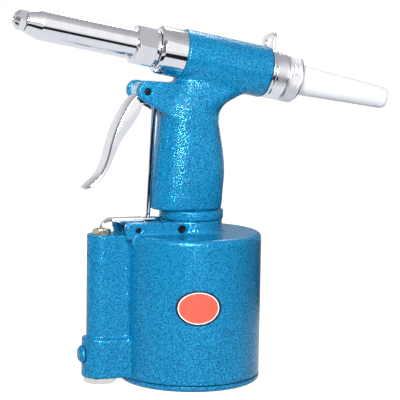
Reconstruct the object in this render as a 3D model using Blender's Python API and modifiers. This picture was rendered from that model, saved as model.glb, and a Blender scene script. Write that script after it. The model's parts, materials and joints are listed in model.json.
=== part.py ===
"""Air-hydraulic blind rivet gun, modelled as the separate pieces it is assembled from.

Frame: metres, +Z up. The origin is the centre of the flat base of the air cylinder, the nose points
to -X and the tool is symmetric about the XZ plane, apart from the hanger ring, the oil screw and
the lock screw.
"""

import math

import bmesh
import bpy
from mathutils import Matrix, Vector

MM = 0.001

# Gaps
GAP = 0.3 * MM                      # between pieces that seat on each other
RUN = 0.35 * MM                     # radial clearance of sliding and turning pieces

# Air cylinder
CYLINDER_DIA = 90 * MM
CYLINDER_WALL = 4 * MM
CYLINDER_HEIGHT = 94 * MM           # base to the flat of the crown
CROWN_THICK = 6 * MM
SHOULDER_RADIUS = 3.2 * MM
NECK_DIA = 39.2 * MM
NECK_HEIGHT = 8 * MM                # above the crown
NECK_FLARE = 3 * MM
COVER_RIM = 3.5 * MM                # visible edge of the bottom cover
COVER_SPIGOT = 7 * MM
LOCK_RING_DIA = 40.8 * MM
LOCK_RING_HEIGHT = 6.2 * MM

# Valve block beside the cylinder
VALVE_X = -59 * MM
BLOCK_RADIUS = 9.1 * MM
BOSS_RADIUS = 11.9 * MM
BOSS_TOP = 29 * MM
VALVE_BORE_RADIUS = 6 * MM
INLET_HEX = 19 * MM                 # across flats
INLET_STEM_RADIUS = 7.2 * MM
INLET_STEM_LENGTH = 17 * MM
INLET_BORE_RADIUS = 5.2 * MM
INLET_FOOT = 0.4 * MM               # hex face above the ground
EXHAUST_DROP = 14 * MM              # exhaust hole below the block's top
EXHAUST_RADIUS = 2.1 * MM
PLUG_HEIGHT = 18.5 * MM
PLUG_RADIUS = 5.6 * MM
PLUG_STEM_RADIUS = 3.6 * MM
PLUG_STEM_LENGTH = 3 * MM
PLUG_PROUD = 2.6 * MM

# Lever bracket, cast on the crown between block and neck
BRACKET_HALF_WIDTH = 15.5 * MM
BRACKET_WALL = 4.5 * MM
BRACKET_HEIGHT = 8.2 * MM           # above the crown
BRACKET_FRONT_X = -47 * MM
LOCK_SCREW_X = -11.5 * MM
LOCK_SCREW_RADIUS = 2.2 * MM
LOCK_BOSS_RADIUS = 4.1 * MM
LOCK_SCREW_LENGTH = 2.4 * MM

# Valve lever and its pin
LEVER_X = -39.5 * MM
LEVER_RISE = 3.4 * MM               # pivot above the crown
LEVER_WIDTH = 11 * MM
LEVER_SHEET = 1.6 * MM
LEVER_TOP = 9.6 * MM                # top plate above the crown
LEVER_BEND = 8 * MM                 # outer radius of the bend towards the pusher
LEVER_NOSE_REACH = 2 * MM           # front of the nose before the valve's axis
LEVER_NOSE_WIDTH = 5 * MM
LEVER_CLEAR = 0.9 * MM              # flanges above the crown
LEVER_PIN_RADIUS = 1.5 * MM

# Valve inside the block
GLAND_HEX = 10.5 * MM
GLAND_HEAD = 2.8 * MM
GLAND_STEM = 9 * MM
PUSHER_RADIUS = 2.4 * MM
PUSHER_SUNK = 1.4 * MM              # straight part below the gland's top
GLAND_MOUTH_RADIUS = 4 * MM         # recess that the lever's nose dips into
GLAND_MOUTH_DEPTH = 3.7 * MM
PUSHER_LENGTH = 34 * MM
POPPET_RADIUS = 4.4 * MM
POPPET_LENGTH = 6 * MM
SEAT_HEIGHT = 4 * MM
SEAT_BORE_RADIUS = 3.4 * MM
VALVE_SPRING_WIRE = 0.8 * MM
VALVE_SPRING_TURNS = 6

# Barrel of the handle casting: an axis in the XZ plane, nose up
BARREL_TILT = math.radians(11)
BARREL_RISE = 94.9 * MM             # axis above the foot of the grip, over the cylinder's axis
BARREL_DIA = 32.4 * MM
BARREL_FRONT = 8.7 * MM             # along the axis, positive towards the nose
BARREL_REAR = 48.4 * MM             # towards the collector
BARREL_BORE_RADIUS = 13 * MM

# Grip
GRIP_SPIGOT_RADIUS = 15 * MM
OIL_BORE_RADIUS = 6 * MM
OIL_BORE_TOP = 70 * MM              # above the foot of the grip

# Trigger ears, trigger and its pin
EAR_WIDTH = 27 * MM
EAR_SLOT = 16.2 * MM
EAR_TIP_RADIUS = 6.4 * MM
TRIGGER_X = -34 * MM
TRIGGER_RISE = 74 * MM              # pivot above the foot of the grip
TRIGGER_WIDTH = 15.2 * MM
TRIGGER_SHEET = 2.2 * MM
TRIGGER_PIN_RADIUS = 1.9 * MM
TRIGGER_HUB_RADIUS = 5.2 * MM
TRIGGER_REACH = 37.5 * MM           # finger tip forward of the pivot
TRIGGER_DROP = 59.4 * MM            # finger tip below the pivot
TONGUE_REACH = 8.6 * MM             # pivot to the pull rod
TONGUE_DROP = 2 * MM                # top of the tongue below the pivot
TONGUE_THICK = 3 * MM

# Pull rod between trigger and valve lever
ROD_RADIUS = 1.5 * MM
ROD_BALL_RADIUS = 2.8 * MM
ROD_FOOT_X = -28.7 * MM
FORK_SLOT = 4.4 * MM
FORK_SWING = 1.5 * MM               # room behind the rod for the tongue's swing

# Hydraulic pull piston and return spring in the barrel
PISTON_THICK = 10 * MM
PISTON_ROD_RADIUS = 6 * MM
PISTON_TAIL_RADIUS = 5.5 * MM
MANDREL_BORE_RADIUS = 2.6 * MM
OIL_CHAMBER = 4 * MM
SEAL_SECTION = 2.4 * MM
RETURN_SPRING_WIRE = 2.2 * MM
RETURN_SPRING_TURNS = 4.5

# Front gland, the bright collar
COLLAR_DIA = 30 * MM
COLLAR_LENGTH = 16.6 * MM
GLAND_SPIGOT = 10 * MM

# Nose housing and nosepiece
NOSE_DIA = 19 * MM
NOSE_BORE_RADIUS = 7.9 * MM
NOSE_HEX = 23.4 * MM                # across flats
NOSE_HEX_LENGTH = 12.5 * MM
NOSE_COLLAR_LENGTH = 2.2 * MM       # plain ring behind the hex
NOSE_LENGTH = 84 * MM               # collar face to the tip of the cone
CONE_LENGTH = 9.5 * MM
CONE_TIP_RADIUS = 6.6 * MM
NOSE_SPIGOT_RADIUS = 10.4 * MM
NOSE_SPIGOT = 6 * MM
NOSEPIECE_HEX = 12 * MM
NOSEPIECE_HEAD = 4.6 * MM
NOSEPIECE_TIP = 2.2 * MM
NOSEPIECE_TIP_RADIUS = 4 * MM
NOSEPIECE_STEM_RADIUS = 4.4 * MM
NOSEPIECE_STEM = 12 * MM
NOSEPIECE_BORE_RADIUS = 1.8 * MM

# Jaw case, jaws, pusher and spring inside the nose housing
JAW_CASE_RADIUS = 7.5 * MM
JAW_CASE_LENGTH = 52 * MM
JAW_CASE_BORE_RADIUS = 6 * MM
JAW_LENGTH = 13 * MM
JAW_MOUTH_RADIUS = 4.6 * MM
JAW_COUNT = 3
JAW_SPLIT = 0.8 * MM                # gap between jaws
PUSHER_TUBE_LENGTH = 12 * MM
JAW_SPRING_WIRE = 0.9 * MM
JAW_SPRING_TURNS = 5
CASE_TAIL = 10 * MM                 # jaw case screwed on the piston rod

# Rear cap, hanger, collector ring and collector tube
REAR_RING_DIA = 31.6 * MM
REAR_CAP_LENGTH = 9.2 * MM
REAR_CAP_SPIGOT = 8 * MM
HANGER_THICK = 1.5 * MM
HANGER_TAB_WIDTH = 19 * MM
HANGER_TAB_HEIGHT = 8.5 * MM        # above the barrel
HANGER_EYE_WIDTH = 10 * MM
HANGER_EYE_HEIGHT = 6.2 * MM
HANGER_CLOCKING = math.radians(10)
COLLECTOR_RING_LENGTH = 10.2 * MM
TUBE_MOUTH_RADIUS = 9.9 * MM
TUBE_END_RADIUS = 7 * MM
TUBE_LENGTH = 66 * MM               # behind the collector ring
TUBE_WALL = 1.3 * MM
TUBE_FLANGE = 1.8 * MM

# Air piston and ram
AIR_PISTON_THICK = 14 * MM
AIR_PISTON_REST = 3 * MM            # above the bottom cover
RAM_RADIUS = 5.5 * MM
RAM_TOP = 6 * MM                    # rest position above the foot of the grip
RAM_NUT_HEX = 16 * MM
RAM_NUT_THICK = 5 * MM
RAM_GLAND_RADIUS = 10 * MM
RAM_GLAND_HEIGHT = 8 * MM

# Oil filler screw on the far side of the barrel
OIL_SCREW_S = -2 * MM
OIL_HEAD_RADIUS = 4.2 * MM
OIL_HEAD_THICK = 3.2 * MM
OIL_STEM_RADIUS = 2.4 * MM
OIL_WASHER_THICK = 1.2 * MM
OIL_SPOT_DEPTH = 1.2 * MM

# Heights and stations worked out from the sizes above
CYLINDER_RADIUS = CYLINDER_DIA / 2
BORE_RADIUS = CYLINDER_RADIUS - CYLINDER_WALL
BOSS_BOTTOM = COVER_RIM + 2 * GAP
CROWN_Z = CYLINDER_HEIGHT
NECK_TOP = CROWN_Z + NECK_HEIGHT
LOCK_RING_Z = NECK_TOP + GAP
FOOT_Z = LOCK_RING_Z + LOCK_RING_HEIGHT + GAP          # foot of the grip
BARREL_Z = FOOT_Z + BARREL_RISE
BARREL_RADIUS = BARREL_DIA / 2
TRIGGER_Z = FOOT_Z + TRIGGER_RISE
LEVER_Z = CROWN_Z + LEVER_RISE
COLLAR_FACE = BARREL_FRONT + GAP + COLLAR_LENGTH       # stations along the barrel's axis
NOSE_TIP = COLLAR_FACE + GAP + NOSE_LENGTH
GLAND_BACK = BARREL_FRONT - GLAND_SPIGOT
PISTON_FRONT = GLAND_BACK - OIL_CHAMBER
PISTON_BACK = PISTON_FRONT - PISTON_THICK
HANGER_FRONT = -BARREL_REAR - GAP
REAR_CAP_FRONT = HANGER_FRONT - HANGER_THICK - GAP
REAR_CAP_BACK = REAR_CAP_FRONT - REAR_CAP_LENGTH
SPIGOT_FRONT = REAR_CAP_FRONT + REAR_CAP_SPIGOT
RING_FRONT = REAR_CAP_BACK - GAP
RING_BACK = RING_FRONT - COLLECTOR_RING_LENGTH
COVER_TOP = COVER_RIM + GAP + COVER_SPIGOT
AIR_PISTON_Z = COVER_TOP + AIR_PISTON_REST
ROD_HEAD_Z = TRIGGER_Z - TONGUE_DROP
ROD_HEAD_X = TRIGGER_X + TONGUE_REACH

ROUND = 24                          # facets of large turned pieces
SMALL = 16                          # facets of small ones
COIL = 7                            # straight stretches in a turn of a spring
WELD = 0.005 * MM                   # vertices closer than this are one


def clear_scene():
    for old in list(bpy.data.objects):
        bpy.data.objects.remove(old)


clear_scene()
PARTS = bpy.data.collections.new("rivet_gun")
CUTTERS = bpy.data.collections.new("cutters")
for group in (PARTS, CUTTERS):
    bpy.context.scene.collection.children.link(group)


def finish_of(name, colour, roughness, metallic):
    made = bpy.data.materials.new(name)
    made.use_nodes = True
    shader = made.node_tree.nodes["Principled BSDF"]
    shader.inputs["Base Color"].default_value = (*colour, 1)
    shader.inputs["Roughness"].default_value = roughness
    shader.inputs["Metallic"].default_value = metallic
    return made


PAINT = finish_of("hammered_blue_paint", (0.01, 0.27, 0.60), 0.3, 0.2)
CHROME = finish_of("chrome", (0.8, 0.8, 0.82), 0.08, 1.0)
STEEL = finish_of("steel", (0.45, 0.45, 0.47), 0.35, 1.0)
BRASS = finish_of("brass", (0.75, 0.55, 0.25), 0.3, 1.0)
RUBBER = finish_of("seal_rubber", (0.02, 0.02, 0.02), 0.7, 0.0)
CLEAR = finish_of("collector_plastic", (0.93, 0.95, 0.96), 0.2, 0.0)


# Axes that pieces are placed on
def axis_empty(name, location, rotation=(0, 0, 0)):
    made = bpy.data.objects.new(name, None)
    made.location = location
    made.rotation_euler = rotation
    PARTS.objects.link(made)
    return made


BARREL_AXIS = axis_empty("barrel_axis", (0, 0, BARREL_Z), (0, BARREL_TILT - math.pi / 2, 0))
CYLINDER_AXIS = axis_empty("cylinder_axis", (0, 0, 0))
VALVE_AXIS = axis_empty("valve_axis", (VALVE_X, 0, 0))
TRIGGER_AXIS = axis_empty("trigger_axis", (TRIGGER_X, 0, TRIGGER_Z))
LEVER_AXIS = axis_empty("lever_axis", (LEVER_X, 0, LEVER_Z))
TO_BARREL = Matrix.Translation(BARREL_AXIS.location) @ BARREL_AXIS.rotation_euler.to_matrix().to_4x4()


# Modelling helpers
def add_object(name, mesh, finish, parent=None, smooth=True):
    """A new object from a mesh. With no finish it is a cutter, hidden from the model."""
    made = bpy.data.objects.new(name, mesh)
    if finish is None:
        CUTTERS.objects.link(made)
        made.hide_render = True
        made.display_type = "WIRE"
    else:
        PARTS.objects.link(made)
        mesh.materials.append(finish)
        if smooth:
            mesh.shade_smooth()
            mesh.set_sharp_from_angle(angle=math.radians(35))
    made.parent = parent
    return made


def turned(name, profile, finish, parent=None, steps=ROUND, at=(0, 0, 0), turn=(0, 0, 0)):
    """A revolved piece. The profile of (radius, height) runs down the outside, then up any bore."""
    mesh = bpy.data.meshes.new(name)
    points = [(radius, 0, height) for radius, height in profile]
    count = len(points)
    edges = [(i, i + 1) for i in range(count - 1)]
    if profile[0][0] > 0:
        edges.append((count - 1, 0))
    mesh.from_pydata(points, edges, [])
    made = add_object(name, mesh, finish, parent, smooth=False)
    made.location = at
    made.rotation_euler = turn
    screw = made.modifiers.new("turn", "SCREW")
    screw.steps = steps
    screw.render_steps = steps
    screw.use_merge_vertices = True
    screw.merge_threshold = 1e-6
    screw.use_smooth_shade = True
    return made


def tube(name, outer, bore, top, bottom, finish, parent=None, steps=SMALL, chamfer=0.0):
    """A plain turned ring, with its outer edges broken by a chamfer."""
    if chamfer:
        profile = [(outer - chamfer, top), (outer, top - chamfer), (outer, bottom + chamfer),
                   (outer - chamfer, bottom)]
    else:
        profile = [(outer, top), (outer, bottom)]
    return turned(name, profile + [(bore, bottom), (bore, top)], finish, parent, steps)


def rod(name, radius, top, bottom, finish, parent=None, steps=SMALL, at=(0, 0, 0), turn=(0, 0, 0)):
    """A plain turned bar."""
    profile = [(0, top), (radius, top), (radius, bottom), (0, bottom)]
    return turned(name, profile, finish, parent, steps, at, turn)


def across_y(name, radius, half_length, x, z, finish, steps=SMALL, parent=None):
    """A bar along Y: a pin, or the cutter of its hole."""
    return rod(name, radius, half_length, -half_length, finish, parent, steps, (x, 0, z),
               (math.pi / 2, 0, 0))


def arc(centre, radius, start, end, steps):
    """Points of an arc in a plane, from one angle to another, in degrees."""
    angles = [math.radians(start + (end - start) * i / steps) for i in range(steps + 1)]
    return [(centre[0] + radius * math.cos(a), centre[1] + radius * math.sin(a)) for a in angles]


def plate(name, outline, thickness, finish, parent=None, upright=True, offset=0.0, smooth=True):
    """A flat outline given thickness: a filled 2D curve with an extrusion, made a mesh.

    Upright outlines are (x, z) pairs and thicken along Y; the others are (x, y) pairs and thicken along Z.
    """
    curve = bpy.data.curves.new(name + "_outline", "CURVE")
    curve.dimensions = "2D"
    curve.fill_mode = "BOTH"
    curve.extrude = thickness / 2
    spline = curve.splines.new("POLY")
    spline.points.add(len(outline) - 1)
    for point, (a, b) in zip(spline.points, outline):
        point.co = (a, b, 0, 1)
    spline.use_cyclic_u = True
    drawn = bpy.data.objects.new(name + "_outline", curve)
    PARTS.objects.link(drawn)
    graph = bpy.context.evaluated_depsgraph_get()
    mesh = bpy.data.meshes.new_from_object(drawn.evaluated_get(graph))
    mesh.name = name
    bpy.data.objects.remove(drawn)
    if upright:
        mesh.transform(Matrix.Rotation(math.pi / 2, 4, "X"))
        mesh.transform(Matrix.Translation((0, offset, 0)))
    else:
        mesh.transform(Matrix.Translation((0, 0, offset)))
    weld(mesh)
    return add_object(name, mesh, finish, parent, smooth)


def weld(mesh):
    shape = bmesh.new()
    shape.from_mesh(mesh)
    bmesh.ops.remove_doubles(shape, verts=shape.verts, dist=1e-7)
    bmesh.ops.recalc_face_normals(shape, faces=shape.faces)
    shape.to_mesh(mesh)
    shape.free()


def block(name, low, high, finish=None, parent=None):
    """A box between two corners."""
    shape = bmesh.new()
    bmesh.ops.create_cube(shape, size=1)
    size = [h - l for l, h in zip(low, high)]
    middle = [(h + l) / 2 for l, h in zip(low, high)]
    bmesh.ops.transform(shape, matrix=Matrix.Translation(middle) @ Matrix.Diagonal((*size, 1)),
                        verts=shape.verts)
    mesh = bpy.data.meshes.new(name)
    shape.to_mesh(mesh)
    shape.free()
    return add_object(name, mesh, finish, parent, smooth=False)


def loft(name, rings, finish, parent=None):
    """A closed skin over rings of equally many points, from the lowest ring up."""
    mesh = bpy.data.meshes.new(name)
    around = len(rings[0])
    points = [point for ring in rings for point in ring]
    faces = [tuple(reversed(range(around)))]
    for level in range(len(rings) - 1):
        for i in range(around):
            a, b = level * around + i, level * around + (i + 1) % around
            faces.append((a, b, b + around, a + around))
    top = (len(rings) - 1) * around
    faces.append(tuple(range(top, top + around)))
    mesh.from_pydata(points, [], faces)
    weld(mesh)
    return add_object(name, mesh, finish, parent)


def coil(name, radius, wire, bottom, top, turns, finish, parent=None):
    """A compression spring along Z whose ends stay between bottom and top."""
    steps = int(turns * COIL)
    curve = bpy.data.curves.new(name, "CURVE")
    curve.dimensions = "3D"
    curve.bevel_depth = wire / 2
    curve.bevel_resolution = 1
    curve.use_fill_caps = True
    spline = curve.splines.new("POLY")
    spline.points.add(steps)
    low, high = bottom + wire / 2, top - wire / 2
    for i, point in enumerate(spline.points):
        share = i / steps
        angle = 2 * math.pi * turns * share
        point.co = (radius * math.cos(angle), radius * math.sin(angle), low + (high - low) * share, 1)
    made = bpy.data.objects.new(name, curve)
    PARTS.objects.link(made)
    curve.materials.append(finish)
    made.parent = parent
    return made


def change(target, operation, *others):
    """Adds a Boolean to the target for each other object."""
    for other in others:
        step = target.modifiers.new(operation.lower() + "_" + other.name, "BOOLEAN")
        step.operation = operation
        step.object = other
        clean = target.modifiers.new("weld_" + other.name, "WELD")
        clean.merge_threshold = WELD


def cut(target, *others):
    change(target, "DIFFERENCE", *others)


def join(target, *others):
    change(target, "UNION", *others)


def hexagon(name, across_flats, top, bottom, finish, parent=None, corner=0.0):
    """A hexagonal bar along Z. With corner 0 a corner lies on +X."""
    outline = arc((0, 0), across_flats / math.sqrt(3), corner, corner + 300, 5)
    return plate(name, outline, top - bottom, finish, parent, False, (top + bottom) / 2, smooth=False)


def offset_path(points, distance):
    """An open path of (x, z) points moved sideways, to the right of its direction, by a distance."""
    moved = []
    last = len(points) - 1
    for i, (x, z) in enumerate(points):
        before, after = points[max(0, i - 1)], points[min(last, i + 1)]
        dx, dz = after[0] - before[0], after[1] - before[1]
        length = math.hypot(dx, dz)
        moved.append((x + distance * dz / length, z - distance * dx / length))
    return moved


# Air cylinder casting with neck, valve block and lever bracket
def cylinder_casting():
    outer, neck = CYLINDER_RADIUS, NECK_DIA / 2
    shoulder = arc((outer - SHOULDER_RADIUS, CROWN_Z - SHOULDER_RADIUS), SHOULDER_RADIUS, 90, 0, 4)
    flare = arc((neck + NECK_FLARE, CROWN_Z + NECK_FLARE), NECK_FLARE, 180, 270, 3)
    foot = COVER_RIM + GAP
    profile = [(0, NECK_TOP), (neck, NECK_TOP), *flare, *shoulder, (outer, foot), (BORE_RADIUS, foot),
               (BORE_RADIUS, CROWN_Z - CROWN_THICK), (0, CROWN_Z - CROWN_THICK)]
    casting = turned("cylinder_casting", profile, PAINT, CYLINDER_AXIS, 48)

    inside = BORE_RADIUS + CYLINDER_WALL / 2
    column = stadium(BLOCK_RADIUS, inside)
    boss = stadium(BOSS_RADIUS, inside)
    top = plate("block_column", column, CROWN_Z - BOSS_TOP + GAP, None, None, False,
                (CROWN_Z + BOSS_TOP - GAP) / 2)
    low = plate("block_boss", boss, BOSS_TOP - BOSS_BOTTOM, None, None, False, (BOSS_TOP + BOSS_BOTTOM) / 2)
    join(casting, top, low, *bracket_walls())

    neck_bore = rod("neck_bore", GRIP_SPIGOT_RADIUS + GAP, NECK_TOP + 5 * MM,
                    CROWN_Z - CROWN_THICK - 1 * MM, None, CYLINDER_AXIS, ROUND)
    valve_bore = rod("valve_bore", VALVE_BORE_RADIUS, CROWN_Z + 1 * MM, BOSS_BOTTOM - 1 * MM, None,
                     VALVE_AXIS)
    inlet_top = BOSS_BOTTOM + INLET_STEM_LENGTH + GAP
    inlet_bore = rod("inlet_bore", INLET_STEM_RADIUS + GAP, inlet_top, BOSS_BOTTOM - 1 * MM, None,
                     VALVE_AXIS)
    to_front = (0, -math.pi / 2, 0)
    exhaust = rod("exhaust_hole", EXHAUST_RADIUS, BLOCK_RADIUS + 2 * MM, 0, None, None, 16,
                  (VALVE_X, 0, CROWN_Z - EXHAUST_DROP), to_front)
    plug_hole = rod("plug_hole", PLUG_STEM_RADIUS + GAP, BOSS_RADIUS + 1 * MM,
                    BOSS_RADIUS - PLUG_STEM_LENGTH - GAP, None, None, 16, (VALVE_X, 0, PLUG_HEIGHT),
                    to_front)
    spot = rod("plug_spot_face", PLUG_RADIUS + GAP, BOSS_RADIUS + 1 * MM, BOSS_RADIUS - 1.2 * MM, None,
               None, 20, (VALVE_X, 0, PLUG_HEIGHT), to_front)
    port = rod("air_port", 2.5 * MM, -VALVE_X - BORE_RADIUS + 2 * MM, 0, None, None, 12,
               (VALVE_X, 0, CROWN_Z - CROWN_THICK - 6 * MM), (0, math.pi / 2, 0))
    lever_hole = across_y("lever_pin_hole", LEVER_PIN_RADIUS + GAP, EAR_WIDTH, LEVER_X, LEVER_Z, None, 16)
    lock_hole = rod("lock_screw_hole", LOCK_SCREW_RADIUS + GAP, 0, -NECK_DIA, None, None, 16,
                    (LOCK_SCREW_X, 0, LEVER_Z), (-math.pi / 2, 0, 0))
    cut(casting, neck_bore, valve_bore, inlet_bore, exhaust, spot, plug_hole, port, lever_hole, lock_hole)


def stadium(radius, inner):
    """Plan of the valve block: a round front and flat sides that run into the cylinder's wall."""
    back = -math.sqrt(inner ** 2 - radius ** 2)
    return [(back, radius), *arc((VALVE_X, 0), radius, 90, 270, 15), (back, -radius)]


def bracket_walls():
    """Two upright walls on the crown, from the valve block to a round end at the lock screw."""
    middle = LEVER_Z
    top = CROWN_Z + BRACKET_HEIGHT
    bottom = CROWN_Z - 2 * MM
    front = BRACKET_FRONT_X
    corner = 3 * MM
    outline = [(front, bottom), *arc((front + corner, top - corner), corner, 180, 90, 4),
               *arc((LOCK_SCREW_X, middle + 0.4 * MM), LOCK_BOSS_RADIUS, 90, -60, 7),
               (LOCK_SCREW_X, bottom)]
    side = BRACKET_HALF_WIDTH - BRACKET_WALL / 2
    return [plate(f"bracket_wall_{i}", outline, BRACKET_WALL, None, None, True, sign * side)
            for i, sign in enumerate((-1, 1))]


# Handle casting: barrel, grip, trigger ears and threaded spigot
def grip_section(height, front, back, half_width, points=28, square=2.5):
    """One level of the grip: a rounded section between its front and its back."""
    middle, reach = (front + back) / 2, (back - front) / 2
    ring = []
    for i in range(points):
        angle = 2 * math.pi * i / points
        c, s = math.cos(angle), math.sin(angle)
        x = middle + reach * math.copysign(abs(c) ** (2 / square), c)
        y = half_width * math.copysign(abs(s) ** (2 / square), s)
        ring.append((x, y, FOOT_Z + height))
    return ring


# Grip levels: share of the rise to the barrel's axis, front, back and half width
GRIP_LEVELS = (
    (0.00, -26.8 * MM, 18.6 * MM, 15.6 * MM),
    (0.03, -27.2 * MM, 19.0 * MM, 16.2 * MM),
    (0.13, -26.5 * MM, 19.6 * MM, 16.8 * MM),
    (0.25, -25.5 * MM, 20.3 * MM, 17.0 * MM),
    (0.38, -24.2 * MM, 19.1 * MM, 16.6 * MM),
    (0.50, -23.0 * MM, 17.1 * MM, 16.0 * MM),
    (0.59, -22.4 * MM, 15.9 * MM, 15.6 * MM),
    (0.65, -22.2 * MM, 17.0 * MM, 15.4 * MM),
    (0.70, -21.5 * MM, 21.0 * MM, 15.2 * MM),
    (0.74, -19.0 * MM, 28.0 * MM, 14.6 * MM),
    (0.78, -16.0 * MM, 34.0 * MM, 13.6 * MM),
    (0.86, -9.0 * MM, 35.0 * MM, 12.4 * MM),
    (0.92, -6.0 * MM, 32.0 * MM, 11.0 * MM),
)


def pull_rod_line():
    """Foot and head of the pull rod's axis."""
    return Vector((ROD_FOOT_X, 0, FOOT_Z)), Vector((ROD_HEAD_X, 0, ROD_HEAD_Z))


def ear_outline():
    """Side view of the trigger ears: a round tip at the pin, running back into the grip."""
    tip = EAR_TIP_RADIUS
    corners = ((1.4, -1.72), (2.19, -2.66), (4.06, -3.12), (4.06, 0.7), (2.81, 0.66))
    return [*arc((TRIGGER_X, TRIGGER_Z), tip, 82, 248, 9),
            *((TRIGGER_X + a * tip, TRIGGER_Z + b * tip) for a, b in corners)]


def handle_casting():
    tip = BARREL_RADIUS
    edge = 1 * MM
    profile = [(tip - edge, BARREL_FRONT), (tip, BARREL_FRONT - edge), (tip, -BARREL_REAR + edge),
               (tip - edge, -BARREL_REAR), (0, -BARREL_REAR), (0, BARREL_FRONT)]
    casting = turned("handle_casting", profile[-1:] + profile[:-1], PAINT, BARREL_AXIS, 40)
    grip = loft("grip", [grip_section(share * BARREL_RISE, *sizes) for share, *sizes in GRIP_LEVELS], None)
    ears = plate("trigger_ears", ear_outline(), EAR_WIDTH, None)
    slot_back = ROD_HEAD_X + 1.6 * ROD_BALL_RADIUS
    slot = block("ear_slot", (TRIGGER_X - 2 * EAR_TIP_RADIUS, -EAR_SLOT / 2,
                              TRIGGER_Z - 5 * EAR_TIP_RADIUS),
                 (slot_back, EAR_SLOT / 2, TRIGGER_Z + 3 * EAR_TIP_RADIUS))
    cut(ears, slot)
    spigot_foot = CROWN_Z - CROWN_THICK
    spigot = rod("grip_spigot", GRIP_SPIGOT_RADIUS, FOOT_Z + 2 * MM, spigot_foot, None, CYLINDER_AXIS,
                 ROUND)
    join(casting, grip, ears, spigot)

    barrel_bore = rod("barrel_bore", BARREL_BORE_RADIUS, BARREL_FRONT + 1 * MM, -BARREL_REAR - 1 * MM, None,
                      BARREL_AXIS, ROUND)
    oil_bore = rod("oil_bore", OIL_BORE_RADIUS, FOOT_Z + OIL_BORE_TOP, spigot_foot - 1 * MM, None,
                   CYLINDER_AXIS)
    oil_port_top = TO_BARREL @ Vector((0, 0, (GLAND_BACK + PISTON_FRONT) / 2))
    oil_port = rod("oil_port", 1.6 * MM, 0, -BARREL_RADIUS - 12 * MM, None, None, 12, oil_port_top)
    gland_seat = rod("ram_gland_seat", RAM_GLAND_RADIUS + GAP, spigot_foot + RAM_GLAND_HEIGHT + GAP,
                     spigot_foot - 1 * MM, None, CYLINDER_AXIS)
    pin_hole = across_y("trigger_pin_hole", TRIGGER_PIN_RADIUS + GAP, EAR_WIDTH, TRIGGER_X, TRIGGER_Z, None,
                        16)
    foot, head = pull_rod_line()
    lean = math.atan2(head.x - foot.x, head.z - foot.z)
    groove = rod("pull_rod_groove", ROD_RADIUS + 3 * GAP, (head - foot).length + 12 * MM, -6 * MM, None,
                 None, 16, foot, (0, lean, 0))
    spot_y = BARREL_RADIUS - OIL_SPOT_DEPTH
    oil_seat = rod("oil_screw_seat", OIL_HEAD_RADIUS + 1.2 * MM, BARREL_RADIUS + 4 * MM, spot_y, None,
                   BARREL_AXIS, 20, (0, 0, OIL_SCREW_S), (-math.pi / 2, 0, 0))
    oil_hole = rod("oil_screw_hole", OIL_STEM_RADIUS + GAP, BARREL_RADIUS + 4 * MM, 0, None, BARREL_AXIS,
                   16, (0, 0, OIL_SCREW_S), (-math.pi / 2, 0, 0))
    cut(casting, barrel_bore, oil_bore, oil_port, gland_seat, pin_hole, groove, oil_seat, oil_hole)


def oil_screw():
    """Filler screw and its washer on the far side of the barrel."""
    seat = BARREL_RADIUS - OIL_SPOT_DEPTH + GAP
    at, turn = (0, 0, OIL_SCREW_S), (-math.pi / 2, 0, 0)
    washer = [(OIL_HEAD_RADIUS, seat + OIL_WASHER_THICK), (OIL_HEAD_RADIUS, seat),
              (OIL_STEM_RADIUS + GAP, seat), (OIL_STEM_RADIUS + GAP, seat + OIL_WASHER_THICK)]
    turned("oil_screw_washer", washer, BRASS, BARREL_AXIS, 20, at, turn)
    head = seat + OIL_WASHER_THICK + GAP
    top = head + OIL_HEAD_THICK
    socket, depth = OIL_HEAD_RADIUS * 0.5, OIL_HEAD_THICK * 0.6
    screw = [(0, top - depth), (socket, top - depth), (socket, top), (OIL_HEAD_RADIUS - 0.4 * MM, top),
             (OIL_HEAD_RADIUS, top - 0.4 * MM), (OIL_HEAD_RADIUS, head), (OIL_STEM_RADIUS, head),
             (OIL_STEM_RADIUS, BARREL_BORE_RADIUS + GAP), (0, BARREL_BORE_RADIUS + GAP)]
    turned("oil_screw", screw, STEEL, BARREL_AXIS, 20, at, turn)


# Trigger, its pin and the pull rod
def trigger_front():
    """Front edge of the trigger from hub to finger tip, as (x, z) from the pivot."""
    shares = ((-0.12, -0.02), (-0.27, -0.13), (-0.40, -0.27), (-0.505, -0.41), (-0.575, -0.545),
              (-0.625, -0.67), (-0.69, -0.785), (-0.775, -0.88), (-0.88, -0.94), (-1.0, -1.0))
    return [(a * TRIGGER_REACH, b * TRIGGER_DROP) for a, b in shares]


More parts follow.
